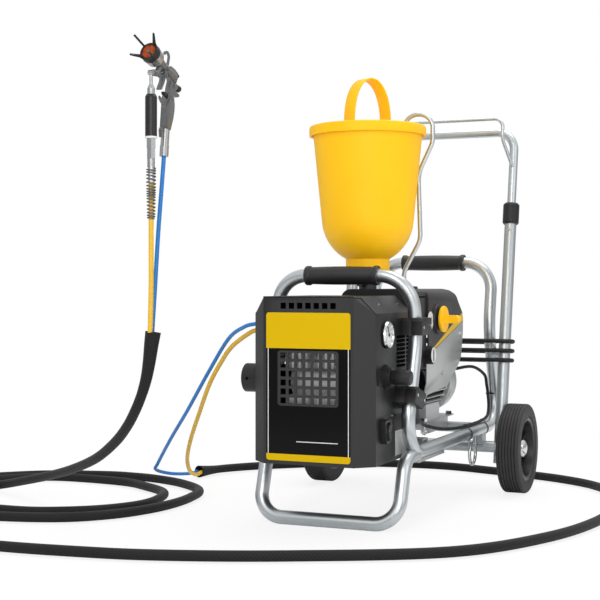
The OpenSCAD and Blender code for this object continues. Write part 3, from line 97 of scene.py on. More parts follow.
# What reflections find: a darker patch straight in front at the cart's height, and walls that are grey low down
way = add(tree, "ShaderNodeTexCoord").outputs["Generated"]
toward = add(tree, "ShaderNodeVectorMath", {"operation": "DOT_PRODUCT"}, _0=way, _1=(0.31, -0.95, 0.0))
shade = add(tree, "ShaderNodeMapRange", {"interpolation_type": "SMOOTHSTEP"}, Value=toward.outputs["Value"],
            From_Min=0.72, From_Max=0.98, To_Min=1.0, To_Max=0.5)
upward = add(tree, "ShaderNodeMapRange", {"interpolation_type": "SMOOTHSTEP"}, Value=add(
    tree, "ShaderNodeSeparateXYZ", Vector=way).outputs["Z"], From_Min=0.04, From_Max=0.45, To_Min=0.38, To_Max=0.9)
walls = add(tree, "ShaderNodeMath", {"operation": "MULTIPLY"}, _0=shade.outputs[0], _1=upward.outputs[0])
glossy = add(tree, "ShaderNodeMix", Factor=ray.outputs["Is Glossy Ray"], A=0.72, B=walls.outputs[0])
level = add(tree, "ShaderNodeMix", Factor=seen.outputs[0], A=glossy.outputs[0], B=1.0)
white = add(tree, "ShaderNodeBackground", Color=linear("#ffffff"), Strength=level.outputs[0])
add(tree, "ShaderNodeOutputWorld", Surface=white.outputs[0])

for name, place, target, size, power in (
    ("lamp_front", (0.5, -3.6, 2.5), (0, 0.4, 0.6), 2.2, 42),
    ("lamp_right", (3.3, -0.5, 1.7), (0, 0.4, 0.5), 2.2, 14),
    ("lamp_top", (0.3, 1.4, 3.4), (0, 0.5, 0.4), 2.2, 48),
    ("lamp_low", (1.7, -3.2, 1.1), (0, 0.4, 0.4), 1.4, 22),
):
    data = bpy.data.lights.new(name, "AREA")
    data.size = size
    data.energy = power
    lamp = bpy.data.objects.new(name, data)
    lamp.location = place
    lamp.rotation_euler = (Vector(target) - Vector(place)).to_track_quat("-Z", "Y").to_euler()
    scene.collection.objects.link(lamp)


def new_finish(name, colour, roughness, metallic=0.0, specular=0.5):
    """A new material with its shader; returns the material, its tree and the shader."""
    material = bpy.data.materials.new(name)
    material.use_nodes = True
    tree = material.node_tree
    shader = tree.nodes["Principled BSDF"]
    shader.inputs["Base Color"].default_value = linear(colour)
    shader.inputs["Roughness"].default_value = roughness
    shader.inputs["Metallic"].default_value = metallic
    shader.inputs["Specular IOR Level"].default_value = specular
    return material, tree, shader


def grid_piece(name, points, material, around=None, far=None, closed=True, ring=False):
    """A mesh over a grid of points. Each row is a ring when closed, with caps at both ends; the rows join into a ring
    too when ring is set. The map runs around each row and far along the rows. A cap's edge is sharp, so that the
    shading of the sides doesn't lean towards the flat cap."""
    rows, sides = points.shape[:2]
    index = np.arange(rows * sides).reshape(rows, sides)
    strips = np.arange(rows if ring else rows - 1)
    r, c = np.meshgrid(strips, np.arange(sides if closed else sides - 1), indexing="ij")
    corners = ((r, c), (r, c + 1), (r + 1, c + 1), (r + 1, c))
    faces = np.stack([index[a % rows, b % sides] for a, b in corners], axis=-1).reshape(-1, 4).tolist()
    if closed and not ring:
        faces += [index[0, ::-1].tolist(), index[-1].tolist()]
    mesh = bpy.data.meshes.new(name)
    mesh.from_pydata(points.reshape(-1, 3).tolist(), [], faces)
    mesh.polygons.foreach_set("use_smooth", np.arange(len(faces)) < r.size)
    ends = np.zeros(2 * len(mesh.edges), np.int32)
    mesh.edges.foreach_get("vertices", ends)
    row = ends.reshape(-1, 2) // sides
    on_cap = (row[:, 0] == row[:, 1]) & np.isin(row[:, 0], (0, rows - 1)) & (not ring)
    mesh.edges.foreach_set("use_edge_sharp", on_cap)
    if around is not None:
        layer = mesh.uv_layers.new(name="along")
        sides_uv = np.stack([np.stack([around[b], far[a]], axis=-1) for a, b in corners], axis=2).reshape(-1, 2)
        uv = np.zeros((len(mesh.loops), 2))
        uv[: len(sides_uv)] = sides_uv
        layer.data.foreach_set("uv", uv.astype(np.float32).reshape(-1))
    mesh.materials.append(material)
    piece = bpy.data.objects.new(name, mesh)
    scene.collection.objects.link(piece)
    return piece


# Seamless paper: it keeps the soft shadow under the cart and runs into the white of the room further out
paper, tree, shader = new_finish("white_paper_backdrop", "#fafafa", 0.9, specular=0.1)
from_cart = add(tree, "ShaderNodeVectorMath", {"operation": "DISTANCE"},
                _0=add(tree, "ShaderNodeTexCoord").outputs["Object"], _1=(-0.1, 0.45, 0.0))
fade = add(tree, "ShaderNodeMapRange", {"interpolation_type": "SMOOTHSTEP"}, Value=from_cart.outputs["Value"],
           From_Min=0.7, From_Max=2.1, To_Min=0.82, To_Max=1.0)
glow = add(tree, "ShaderNodeEmission", Color=linear("#ffffff"), Strength=1.0)
part = add(tree, "ShaderNodeMath", {"operation": "MULTIPLY"},
           _0=add(tree, "ShaderNodeLightPath").outputs["Is Camera Ray"], _1=fade.outputs[0])
mix = add(tree, "ShaderNodeMixShader", _0=part.outputs[0], _1=shader.outputs[0], _2=glow.outputs[0])
tree.links.new(mix.outputs[0], tree.nodes["Material Output"].inputs["Surface"])
PAPER_HALF, PAPER_Z = 14.0, -0.0004
edge = np.linspace(-PAPER_HALF, PAPER_HALF, 2)
floor = grid_piece("studio_floor", np.stack([*np.meshgrid(edge, edge), np.full((2, 2), PAPER_Z)], axis=-1), paper,
                   closed=False)

# ---------------------------------------------------------------------------
# Hose sheath. A woven black sleeve over the paint hose and the air hose, from the gun down to the floor, twice
# round in loose loops on the left, once round the front and right of the cart and back to the box's left side.


def smooth_line(points, steps):
    """Catmull-Rom line through the points, from millimetres to metres: each span is a cubic whose slope at a point is
    half the step from the point before it to the point after it."""
    p = np.asarray(points, float) / 1000.0
    before = np.vstack([p[:1], p[:-2]])
    after = np.vstack([p[2:], p[-1:]])
    t = (np.arange(steps) / steps)[None, :, None]
    p0, p1, p2, p3 = before[:, None], p[:-1, None], p[1:, None], after[:, None]
    spans = 0.5 * (2 * p1 + (p2 - p0) * t + (2 * p0 - 5 * p1 + 4 * p2 - p3) * t**2 + (3 * p1 - p0 - 3 * p2 + p3) * t**3)
    return np.vstack([spans.reshape(-1, 3), p[-1:]])


def rings(line, sides, first=(0.0, 0.0, 1.0)):
    """Unit circles square to the line: the sideways direction is carried from point to point without twist."""
    ahead = np.gradient(line, axis=0)
    ahead /= np.linalg.norm(ahead, axis=1, keepdims=True)
    side = np.zeros_like(line)
    now = np.asarray(first, float)
    for i, t in enumerate(ahead):
        now = now - t * (now @ t)
        now /= np.linalg.norm(now)
        side[i] = now
    across = np.cross(ahead, side)
    angle = np.linspace(0, 2 * np.pi, sides, endpoint=False)[None, :, None]
    return np.cos(angle) * side[:, None] + np.sin(angle) * across[:, None]


def along(line):
    """Distance along the line at each of its points."""
    return np.concatenate([[0.0], np.cumsum(np.linalg.norm(np.diff(line, axis=0), axis=1))])


def stretch_of(line, start, end, count):
    """The part of a line between two distances along it, as evenly spaced points."""
    at = np.linspace(start, end, count)
    return np.column_stack([np.interp(at, along(line), line[:, k]) for k in range(3)])


def tube(name, line, radius, material, sides=16, order=None, first=(0.0, 0.0, 1.0)):
    """A tube: circles of the given radius, one or one for each ring, carried along the line. order picks the rings, so
    that a wall can turn back inside itself. Its map runs round the tube and along it, in metres."""
    order = np.arange(len(line)) if order is None else order
    size = np.broadcast_to(radius, len(order))
    points = line[order][:, None] + size[:, None, None] * rings(line, sides, first)[order]
    around = np.arange(sides + 1) / sides * 2 * np.pi * float(np.median(size))
    return grid_piece(name, points, material, around, along(line)[order])


# Woven polyester: matt black with a faint diagonal braid. Strands are 2 mm wide, drawn at 6 mm so that they show.
sheath_cloth, tree, shader = new_finish("woven_black_sleeve", "#141415", 0.7, specular=0.3)
shader.inputs["Sheen Weight"].default_value = 0.06
shader.inputs["Sheen Roughness"].default_value = 0.5
uv = add(tree, "ShaderNodeUVMap", {"uv_map": "along"})
strand = []
for turned in (0.8, -0.8):
    lean = add(tree, "ShaderNodeMapping", Vector=uv.outputs[0], Rotation=(0, 0, turned))
    strand.append(add(tree, "ShaderNodeTexWave", {"wave_type": "BANDS", "bands_direction": "X"},
                      Vector=lean.outputs[0], Scale=52.0, Distortion=0.0).outputs["Color"])
braid = add(tree, "ShaderNodeMath", {"operation": "MULTIPLY"}, _0=strand[0], _1=strand[1])
tone = add(tree, "ShaderNodeMix", {"data_type": "RGBA"}, _0=braid.outputs[0], _6=linear("#0c0c0d"),
           _7=linear("#1c1c1d"))
tree.links.new(tone.outputs[2], shader.inputs["Base Color"])
bump = add(tree, "ShaderNodeBump", Height=braid.outputs[0], Strength=0.3, Distance=0.0006)
tree.links.new(bump.outputs[0], shader.inputs["Normal"])

# From the gun's end to the box's end, in millimetres
sheath_route = [
    (-292, -212, 479), (-296, -214, 447), (-300, -216, 411), (-309, -213, 374), (-326, -204, 336), (-351, -189, 298),
    (-389, -163, 256), (-446, -122, 212), (-543, -50, 160), (-674, 52, 114), (-813, 150, 75), (-961, 222, 40),
    (-1050, 250, 21), (-1110, 215, 14), (-1120, 120, 14), (-1070, 20, 14), (-960, -40, 14), (-824, -49, 14),
    (-723, -37, 14), (-620, 23, 14), (-559, 98, 14), (-534, 176, 14), (-545, 270, 14), (-582, 355, 14),
    (-679, 428, 14), (-790, 480, 14), (-1000, 488, 14), (-1100, 430, 14), (-1175, 330, 14), (-1200, 190, 14),
    (-1175, 40, 14), (-1090, -80, 14), (-930, -140, 14), (-763, -132, 14), (-619, -85, 14), (-533, -2, 14),
    (-487, 96, 14), (-468, 200, 14), (-474, 310, 14), (-507, 424, 14), (-612, 518, 14), (-719, 566, 14),
    (-809, 582, 14), (-900, 578, 14), (-1065, 523, 14), (-1180, 428, 14), (-1290, 300, 14), (-1345, 130, 14),
    (-1330, -60, 14), (-1220, -240, 14), (-1010, -370, 14), (-780, -430, 14), (-563, -440, 14), (-380, -425, 14),
    (-190, -389, 14), (74, -286, 14), (378, -110, 14), (530, 130, 14), (600, 400, 14), (600, 680, 14), (520, 900, 14),
    (380, 1030, 14), (154, 1120, 14), (-64, 1170, 14), (-320, 1120, 14), (-520, 980, 14), (-620, 850, 16),
    (-664, 720, 19),
]
sheath_line = smooth_line(sheath_route, 8)
sheath_len = along(sheath_line)[-1]
SHEATH_R = 0.012
MOUTH_GUN, MOUTH_BOX = 0.145, 0.075  # how long the two mouths are
OVERLAP = 0.012  # how far the even sleeve reaches into each
sleeve_line = stretch_of(sheath_line, MOUTH_GUN - OVERLAP, sheath_len - MOUTH_BOX + OVERLAP, 640)
sheath = tube("sheath_sleeve", sleeve_line, SHEATH_R, sheath_cloth, 20)
# Each mouth opens from 12 to 18 mm and its wall turns back inside, where the two hoses go in
MOUTH_R, MOUTH_FLARE, MOUTH_WALL, MOUTH_DEPTH = 0.0124, 0.0056, 0.0012, 0.035
for name, line in (
    ("sheath_mouth_at_gun", stretch_of(sheath_line, 0.0, MOUTH_GUN, 30)),
    ("sheath_mouth_at_box", stretch_of(sheath_line, sheath_len, sheath_len - MOUTH_BOX, 22)),
):
    far = along(line)
    flare = MOUTH_R + MOUTH_FLARE * (1 - far / far[-1]) ** 1.4
    inside = np.flatnonzero(far < MOUTH_DEPTH)[::-1]
    order = np.concatenate([inside, np.arange(len(line))])
    size = np.concatenate([flare[inside] - MOUTH_WALL, flare])
    mouth = tube(name, line, size, sheath_cloth, 24, order, first=(1.0, 0.0, 0.0))
    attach(mouth, "cart")
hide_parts("hose_sheath")
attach(sheath, "cart")

# ---------------------------------------------------------------------------
# Paint hose and air hose. The paint hose is a yellow nylon high-pressure hose, the air hose is blue polyurethane.
# Each shows between its fitting and the sheath's mouth, at the gun and at the box.


def grain(tree, shader, size, strength, depth, tones=None, rough=None):
    """Noise of the given size in metres: it raises the surface by depth times strength, and where asked it moves the
    colour between two tones and the roughness between two values."""
    spot = add(tree, "ShaderNodeTexCoord").outputs["Object"]
    noise = add(tree, "ShaderNodeTexNoise", Vector=spot, Scale=1.0 / size, Detail=3.0).outputs[0]
    bump = add(tree, "ShaderNodeBump", Height=noise, Strength=strength, Distance=depth)
    tree.links.new(bump.outputs[0], shader.inputs["Normal"])
    if tones:
        tone = add(tree, "ShaderNodeMix", {"data_type": "RGBA"}, _0=noise, _6=linear(tones[0]), _7=linear(tones[1]))
        tree.links.new(tone.outputs[2], shader.inputs["Base Color"])
    if rough:
        worn = add(tree, "ShaderNodeMapRange", Value=noise, From_Min=0.35, From_Max=0.65,
                   To_Min=rough[0], To_Max=rough[1])
        tree.links.new(worn.outputs[0], shader.inputs["Roughness"])


def hose_finish(name, colour, darker, roughness):
    """Smooth extruded plastic: an even colour with faint long scuffs, drawn at 100 mm so that they show."""
    material, tree, shader = new_finish(name, colour, roughness)
    uv = add(tree, "ShaderNodeUVMap", {"uv_map": "along"})
    stretch = add(tree, "ShaderNodeMapping", Vector=uv.outputs[0], Scale=(60, 9, 1))
    scuff = add(tree, "ShaderNodeTexNoise", Vector=stretch.outputs[0], Scale=1.0, Detail=4.0)
    tone = add(tree, "ShaderNodeMix", {"data_type": "RGBA"}, _0=scuff.outputs[0], _6=linear(colour), _7=linear(darker))
    tree.links.new(tone.outputs[2], shader.inputs["Base Color"])
    bump = add(tree, "ShaderNodeBump", Height=scuff.outputs[0], Strength=0.04, Distance=0.0004)
    tree.links.new(bump.outputs[0], shader.inputs["Normal"])
    return material


# Bright pressed steel, satin from the press
crimp_steel, tree, shader = new_finish("pressed_bright_steel", "#cfd1d2", 0.34, 1.0)
grain(tree, shader, 0.004, 0.03, 0.0002, rough=(0.3, 0.4))
yellow_nylon = hose_finish("extruded_yellow_nylon", "#e0b32a", "#d8ab22", 0.38)
blue_urethane = hose_finish("extruded_blue_polyurethane", "#1277c6", "#0f70bb", 0.34)

PAINT_HOSE_R, AIR_HOSE_R = 0.00575, 0.005
FERRULE_START, FERRULE_END, FERRULE_R = 0.0006, 0.0345, 0.0072
# All four routes are in millimetres and start at their fittings, two at the gun and two at the box's left side
gun_hose_route = [(-291, -223, 852), (-291, -223, 820), (-291, -223, 700), (-291, -223, 580), (-292, -226, 478)]
air_dir = np.array([0.0, -8.0, -63.0]) / np.hypot(8.0, 63.0)
air_end = np.array([-291.0, -164.0, 882.0])
gun_air_route = [tuple(air_end), tuple(air_end + air_dir * 8), tuple(air_end + air_dir * 16), (-291, -176, 800),
                 (-295, -184, 700), (-299, -191, 580), (-300, -202, 478)]
box_air_route = [
    (-178, 120, 489), (-186, 120, 489), (-194, 120, 489), (-228, 132, 481), (-295, 180, 449), (-387, 250, 360),
    (-502, 345, 244), (-606, 440, 152), (-706, 545, 66), (-738, 588, 38), (-722, 645, 20), (-690, 690, 15),
    (-672, 706, 18), (-670, 722, 20),
]
box_paint_route = [
    (-178, 138, 474), (-185, 138, 474), (-192, 138, 474), (-220, 148, 466), (-290, 190, 429), (-340, 226, 385),
    (-396, 270, 324), (-474, 360, 236), (-548, 450, 152), (-610, 545, 84), (-640, 615, 38), (-648, 660, 20),
    (-652, 690, 16), (-656, 722, 18),
]
for name, route, radius, material, node, slot in (
    ("paint_hose_at_gun", gun_hose_route, PAINT_HOSE_R, yellow_nylon, "paint_hose_gun", "yellow_hose"),
    ("air_hose_at_gun", gun_air_route, AIR_HOSE_R, blue_urethane, "air_hose_gun", "blue_hose"),
    ("paint_hose_at_box", box_paint_route, PAINT_HOSE_R, yellow_nylon, "paint_hose_box", "yellow_hose"),
    ("air_hose_at_box", box_air_route, AIR_HOSE_R, blue_urethane, "air_hose_box", "blue_hose"),
):
    line = smooth_line(route, 10)
    hose = tube(name, line, radius, material, 20, first=(1.0, 0.0, 0.0) if "gun" in name else (0.0, 0.0, 1.0))
    if name == "paint_hose_at_gun":
        # The pressed steel ferrule that grips the hose's end, inside the spring
        crimp = tube("hose_ferrule", stretch_of(line, FERRULE_START, FERRULE_END, 8), FERRULE_R, crimp_steel, 24,
                     first=(1.0, 0.0, 0.0))
        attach(crimp, "cart")
    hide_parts(node)
    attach(hose, "cart")

# ---------------------------------------------------------------------------
# Power cord, plug and the cable between the box and the motor. Black rubber mains cable; the power cord comes out
# of the motor's terminal box, is wound three times round the rear uprights and the handle's sockets for storage, and
# ends in its plug. Nylon ties hold the other cable to the frame.


def dress(material, *names):
    """Gives the CAD pieces of these names this finish."""
    for name in names:
        mesh = nodes[name].data
        mesh.materials.clear()
        mesh.materials.append(material)


# Rubber mains cable: black, slightly dusty, with a faint matt bloom in patches of about 14 mm
cord_rubber, tree, shader = new_finish("black_rubber_cable", "#121213", 0.5, specular=0.35)
grain(tree, shader, 0.014, 0.1, 0.0005, rough=(0.42, 0.6))

CORD_R, CABLE_R = 0.006, 0.0045
# The frame's rear, in millimetres: the uprights slant back from their waist down to the rails, and the handle's
# sockets lean back from the axle
UPRIGHT_X, SOCKET_X = 181.0, 241.0
RAIL_Z, WAIST_Z = 173, 455
REAR_WAIST_Y, REAR_LOW_Y = 931, 1028
AXLE_Y, AXLE_Z = 828, 125
HANDLE_LEAN = math.radians(10.8)
# The winding drops by one pitch a turn. At each angle the cord lies against the tube that reaches out furthest that
# way, with a little more room at the slanting uprights, so it runs straight from tube to tube and round each of them
TURNS, TURN_STEPS, STEPS_BEFORE, START_ANGLE = 3, 96, 20, 174.5
WINDING_TOP, PITCH, SWAY, OFF_TUBE = 434, 27, 0.13, 24.0
turns = np.arange(-STEPS_BEFORE, TURNS * TURN_STEPS + 1) / TURN_STEPS
turn_angle = np.radians(START_ANGLE + 360 * turns)
cord_z = WINDING_TOP - PITCH * (turns - SWAY * np.sin(turn_angle - np.radians(300)))
socket_y = AXLE_Y + (cord_z - AXLE_Z) * math.tan(HANDLE_LEAN)
upright_y = REAR_WAIST_Y + (REAR_LOW_Y - REAR_WAIST_Y) / (WAIST_Z - RAIL_Z) * (WAIST_Z - cord_z)
facing = np.stack([np.cos(turn_angle), np.sin(turn_angle)], axis=-1)
corner_x = np.array([SOCKET_X, UPRIGHT_X, -UPRIGHT_X, -SOCKET_X])
corner_y = np.stack([socket_y, upright_y, upright_y, socket_y], axis=-1)
slant_room = np.array([0.0, 3.0, 3.0, 0.0])
reach = corner_x * facing[:, :1] + corner_y * facing[:, 1:] + slant_room
pick = np.argmax(reach >= reach.max(axis=1, keepdims=True) - 0.001, axis=1)
wrap = np.stack([corner_x[pick], corner_y[np.arange(len(pick)), pick]], axis=-1)
wrap = wrap + (OFF_TUBE + slant_room[pick])[:, None] * facing
wound = np.column_stack([wrap, cord_z])
# The lead rises from the terminal box past the rear left upright and joins the winding behind it; the tail leaves the
# winding at the left socket and drops to the plug
gland = np.array([-67.0, 597.0, 326.0])
lead = smooth_line([tuple(gland), tuple(gland + [-8, 0, 0]), tuple(gland + [-16, 0, 0]), (-104, 606, 336),
                    (-122, 650, 366), (-130, 710, 402), (-133, 780, 434), (-134, 850, 449), (-136, 905, 449),
                    (-144, 940, 446), (-159, 958, 443), tuple(wound[0])], 8)[:-1]
tail = smooth_line([tuple(wound[-1]), (-268, 863.5, 346), (-271.5, 857, 335), (-274.5, 851, 319), (-276.5, 842, 302),
                    (-277, 833, 294), (-277, 824, 292)], 8)
# Lead, winding and tail become one evenly spaced line, smoothed by a running mean over a few points, so that the
# cord leaves each tube in a curve
CORD_POINTS, SMOOTHED, TOO_CLOSE = 900, 9, 0.0008
whole = np.vstack([lead, wound / 1000.0, tail[1:]])
whole = whole[np.concatenate([[True], np.linalg.norm(np.diff(whole, axis=0), axis=1) > TOO_CLOSE])]
whole = stretch_of(whole, 0, along(whole)[-1], CORD_POINTS)
weights = np.hanning(SMOOTHED)
weights /= weights.sum()
held = np.vstack([np.repeat(whole[:1], SMOOTHED // 2, 0), whole, np.repeat(whole[-1:], SMOOTHED // 2, 0)])
cord_line = np.column_stack([np.convolve(held[:, k], weights, "valid") for k in range(3)])
cord_line[0], cord_line[-1] = whole[0], whole[-1]
power_cord = tube("mains_cord", cord_line, CORD_R, cord_rubber, 12)

# From the box's right side along the right bottom rail, up the rear upright and forward to the motor
link_route = [
    (154, 262, 262), (159, 262, 262), (164, 262, 262), (172, 300, 250), (160, 360, 236), (152, 423, 222),
    (160, 520, 205), (172, 620, 197), (178, 700, 195), (179, 840, 195), (178, 920, 202), (173, 958, 226),
    (166, 975, 264), (165, 965, 291), (163, 946, 322), (146, 880, 348), (118, 806, 346), (100, 764, 342),
]
link_line = smooth_line(link_route, 8)
link = tube("motor_cable", link_line, CABLE_R, cord_rubber, 14)

# A ribbed rubber boot keeps each cable from kinking where it leaves its housing: it tapers along the cable's own line
BOOT_STEPS, RIBS, RIB_DEPTH = 37, 6, 0.0009
for name, line, length, thick, thin in (
    ("mains_cord_boot", cord_line, 0.036, 0.0105, 0.0068),
    ("motor_cable_boot", link_line, 0.022, 0.008, 0.0052),
):
    share = np.linspace(0, 1, BOOT_STEPS)
    size = thick + (thin - thick) * share - RIB_DEPTH * (np.sin(share * 2 * RIBS * np.pi) > 0.55)
    boot = tube(name, stretch_of(line, 0.0, length, BOOT_STEPS), size, cord_rubber, 20)
    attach(boot, "cart")

# Nylon cable ties: a thin band drawn tight round a frame tube and the cable beside it. At each angle the band lies on
# whichever of the two reaches out further that way
tie_nylon, tree, shader = new_finish("black_nylon_tie", "#121213", 0.4)
grain(tree, shader, 0.002, 0.1, 0.0003)
TIE_HALF, TIE_THICK, ROUND_CABLE = 0.0022, 0.0014, CABLE_R + 0.0002
for name, centre, cable, cable_side, round_tube in (
    ("rail_tie_front", (0.181, 0.694, 0.173), (0.178, 0.694, 0.195), (0, 0, 1), 0.0172),
    ("rail_tie_rear", (0.181, 0.860, 0.173), (0.179, 0.860, 0.195), (0, 0, 1), 0.0172),
    ("upright_tie", (0.181, 0.9967, 0.264), (0.166, 0.975, 0.264), (0, -1, 0), 0.0182),
):
    centre, cable, sideways, cable_side = (np.array(v, float) for v in (centre, cable, (1, 0, 0), cable_side))
    turn = np.linspace(0, 2 * np.pi, 48, endpoint=False)[:, None]
    out = np.cos(turn) * sideways + np.sin(turn) * cable_side
    on_cable = (out @ (cable - centre) + ROUND_CABLE > round_tube)[:, None]
    inner = np.where(on_cable, cable + ROUND_CABLE * out, centre + round_tube * out)
    outer = inner + TIE_THICK * out
    wide = np.cross(sideways, cable_side) * TIE_HALF
    band = np.stack([outer - wide, outer + wide, inner + wide, inner - wide], axis=1)
    tie = grid_piece(name, band, tie_nylon, ring=True)
    tie.data.polygons.foreach_set("use_smooth", np.zeros(len(tie.data.polygons), bool))
    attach(tie, "cart")

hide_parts("power_cord")
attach(power_cord, "cart")
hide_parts("link_cable")
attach(link, "cart")
dress(cord_rubber, "power_plug")

# ---------------------------------------------------------------------------
# Cart frame. Two hoops of bright drawn steel tube, 34 mm, bent on a former and welded to cross members; a foot bar
# at the front, an axle tube and two sockets for the sliding handle at the rear.

# Drawn steel tube with a satin zinc finish: bright, with fine drawing lines along it (drawn at 2 mm so they show)
tube_steel, tree, shader = new_finish("zinc_plated_drawn_steel", "#c4c9cb", 0.33, 1.0)
uv = add(tree, "ShaderNodeUVMap", {"uv_map": "along"})
stretch = add(tree, "ShaderNodeMapping", Vector=uv.outputs[0], Scale=(500, 4, 1))
lines = add(tree, "ShaderNodeTexNoise", Vector=stretch.outputs[0], Scale=1.0, Detail=2.0)
spot = add(tree, "ShaderNodeTexCoord").outputs["Object"]
cloud = add(tree, "ShaderNodeTexNoise", Vector=spot, Scale=9.0, Detail=2.0)
rough = add(tree, "ShaderNodeMapRange", Value=cloud.outputs[0], From_Min=0.35, From_Max=0.65, To_Min=0.31, To_Max=0.36)
tree.links.new(rough.outputs[0], shader.inputs["Roughness"])
bump = add(tree, "ShaderNodeBump", Height=lines.outputs[0], Strength=0.02, Distance=0.0004)
tree.links.new(bump.outputs[0], shader.inputs["Normal"])


def bent_line(points, bends):
    """Straight runs through the points with a circular arc of each bend's radius at the inner corners, about 3 degrees
    a step, from millimetres to metres."""
    p = np.asarray(points, float)
    parts = [p[:1]]
    for before, corner, after, radius in zip(p[:-2], p[1:-1], p[2:], bends):
        u = (corner - before) / np.linalg.norm(corner - before)
        w = (after - corner) / np.linalg.norm(after - corner)
        angle = math.acos(float(np.clip(u @ w, -1, 1)))
        start = corner - u * radius * math.tan(angle / 2)
        inward = w - u * (w @ u)
        inward /= np.linalg.norm(inward)
        a = np.linspace(0, angle, max(4, int(math.degrees(angle) / 3)))[:, None]
        parts.append(start + u * radius * np.sin(a) + inward * radius * (1 - np.cos(a)))
    parts.append(p[-1:])
    return np.vstack(parts) / 1000.0


# The hoops' rails meet at the cart's middle; the foot's ends lean back under the front hoop
FRAME_R, RAIL_MIDDLE_Y = 0.017, 600
FOOT_Y, FOOT_LOW_Z, FOOT_TOP_Z, FOOT_BACK, FOOT_END = 118, 17, 170, 52, 132


def both_sides(half):
    """A line on the left, from its end to the middle, and its mirror image back on the right."""
    return half + [(-x, y, z) for x, y, z in half[::-1]]


def hoop_line(top_y, waist_y, low_y, top_z):
    """A hoop's centre line: rail, upright with its waist, top bar, and back down the other side."""
    return bent_line(both_sides([(-UPRIGHT_X, RAIL_MIDDLE_Y, RAIL_Z), (-UPRIGHT_X, low_y, RAIL_Z),
                                 (-UPRIGHT_X, waist_y, WAIST_Z), (-UPRIGHT_X, top_y, top_z)]),
                     [85, 200, 85, 85, 200, 85])


foot_line = bent_line(both_sides([(-UPRIGHT_X, FOOT_Y + FOOT_END, FOOT_TOP_Z),
                                  (-UPRIGHT_X, FOOT_Y + FOOT_BACK, FOOT_TOP_Z), (-UPRIGHT_X, FOOT_Y, FOOT_LOW_Z)]),
                      [55, 60, 60, 55])
for name, node, line in (
    ("front_hoop_tube", "front_hoop", hoop_line(top_y=220, waist_y=257, low_y=160, top_z=609)),
    ("rear_hoop_tube", "rear_hoop", hoop_line(top_y=972, waist_y=REAR_WAIST_Y, low_y=REAR_LOW_Y, top_z=651)),
    ("foot_bar", "front_foot", foot_line),
):
    hoop = tube(name, line, FRAME_R, tube_steel, 32, first=(1.0, 0.0, 0.0))
    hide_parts(node)
    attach(hoop, "cart")


def block(name, low, high, material):
    """A block between two corners with its edges broken by a small round of 0.8 mm."""
    low, high = np.array(low), np.array(high)
    pick = np.array([[i & 1, i >> 1 & 1, i >> 2] for i in range(8)])
    mesh = bpy.data.meshes.new(name)
    mesh.from_pydata((low + (high - low) * pick).tolist(), [],
                     [(0, 2, 3, 1), (4, 5, 7, 6), (0, 1, 5, 4), (2, 6, 7, 3), (0, 4, 6, 2), (1, 3, 7, 5)])
    mesh.materials.append(material)
    piece = bpy.data.objects.new(name, mesh)
    scene.collection.objects.link(piece)
    bevel = piece.modifiers.new("broken_edges", "BEVEL")
    bevel.width = 0.0008
    bevel.segments = 2
    return piece


# The same steel on welded brackets and rods, without the long lines
plain_steel, tree, shader = new_finish("zinc_plated_steel_parts", "#b4b9bb", 0.36, 1.0)
grain(tree, shader, 0.11, 0.02, 0.0004, rough=(0.35, 0.42))
dress(plain_steel, "rear_frame", "cross_members")
# The foot's two weld plates lie under the bottom rails
PLATE_HALF, PLATE_Y, PLATE_Z = 0.013, (0.238, 0.448), (0.151, 0.160)
for name, x in (("foot_plate_left", -0.181), ("foot_plate_right", 0.181)):
    plate = block(name, (x - PLATE_HALF, PLATE_Y[0], PLATE_Z[0]), (x + PLATE_HALF, PLATE_Y[1], PLATE_Z[1]), plain_steel)
    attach(plate, "cart")


def on_handle(x, y, w):
    """A point of the leaning handle, w along it from the axle and y across it, in millimetres."""
    s, c = math.sin(HANDLE_LEAN), math.cos(HANDLE_LEAN)
    return (x, AXLE_Y + y * c + w * s, AXLE_Z - y * s + w * c)


HANDLE_R, HANDLE_FOOT, HANDLE_TOP = 0.0125, 290, 929
ROD_R, ROD_X, ROD_FORWARD, ROD_START, ROD_BEND, ROD_TOP = 0.005, 232, -106, 816, 878, 938
handle_line = bent_line(both_sides([on_handle(-SOCKET_X, 0, HANDLE_FOOT), on_handle(-SOCKET_X, 0, HANDLE_TOP)]),
                        [55, 55])
rod_line = bent_line(both_sides([on_handle(-SOCKET_X, 0, ROD_START), on_handle(-ROD_X, ROD_FORWARD, ROD_BEND),
                                 on_handle(-ROD_X, ROD_FORWARD, ROD_TOP)]), [28, 26, 26, 28])
handle = tube("sliding_handle", handle_line, HANDLE_R, tube_steel, 28, first=(1.0, 0.0, 0.0))
hanger = tube("hanger_rod", rod_line, ROD_R, tube_steel, 20, first=(1.0, 0.0, 0.0))
for piece, node in ((handle, "handle_tube"), (hanger, "hose_hanger")):
    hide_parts(node)
    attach(piece, "handle")

# Turned, plated or polished small metal parts: nickel, almost a mirror
bright_metal, tree, shader = new_finish("nickel_plated_steel", "#cfd0d1", 0.18, 1.0)
grain(tree, shader, 0.006, 0.05, 0.0002, rough=(0.12, 0.24))
dress(bright_metal, "snap_button_left", "snap_button_right", "axle", "tie_ring", "screws")

# ---------------------------------------------------------------------------
# Grips, clamps and sleeves. Black rubber grips slide over the hoops' top bars; the clamps that hold the box to the
# front hoop and the sleeves that guide the handle are moulded nylon.


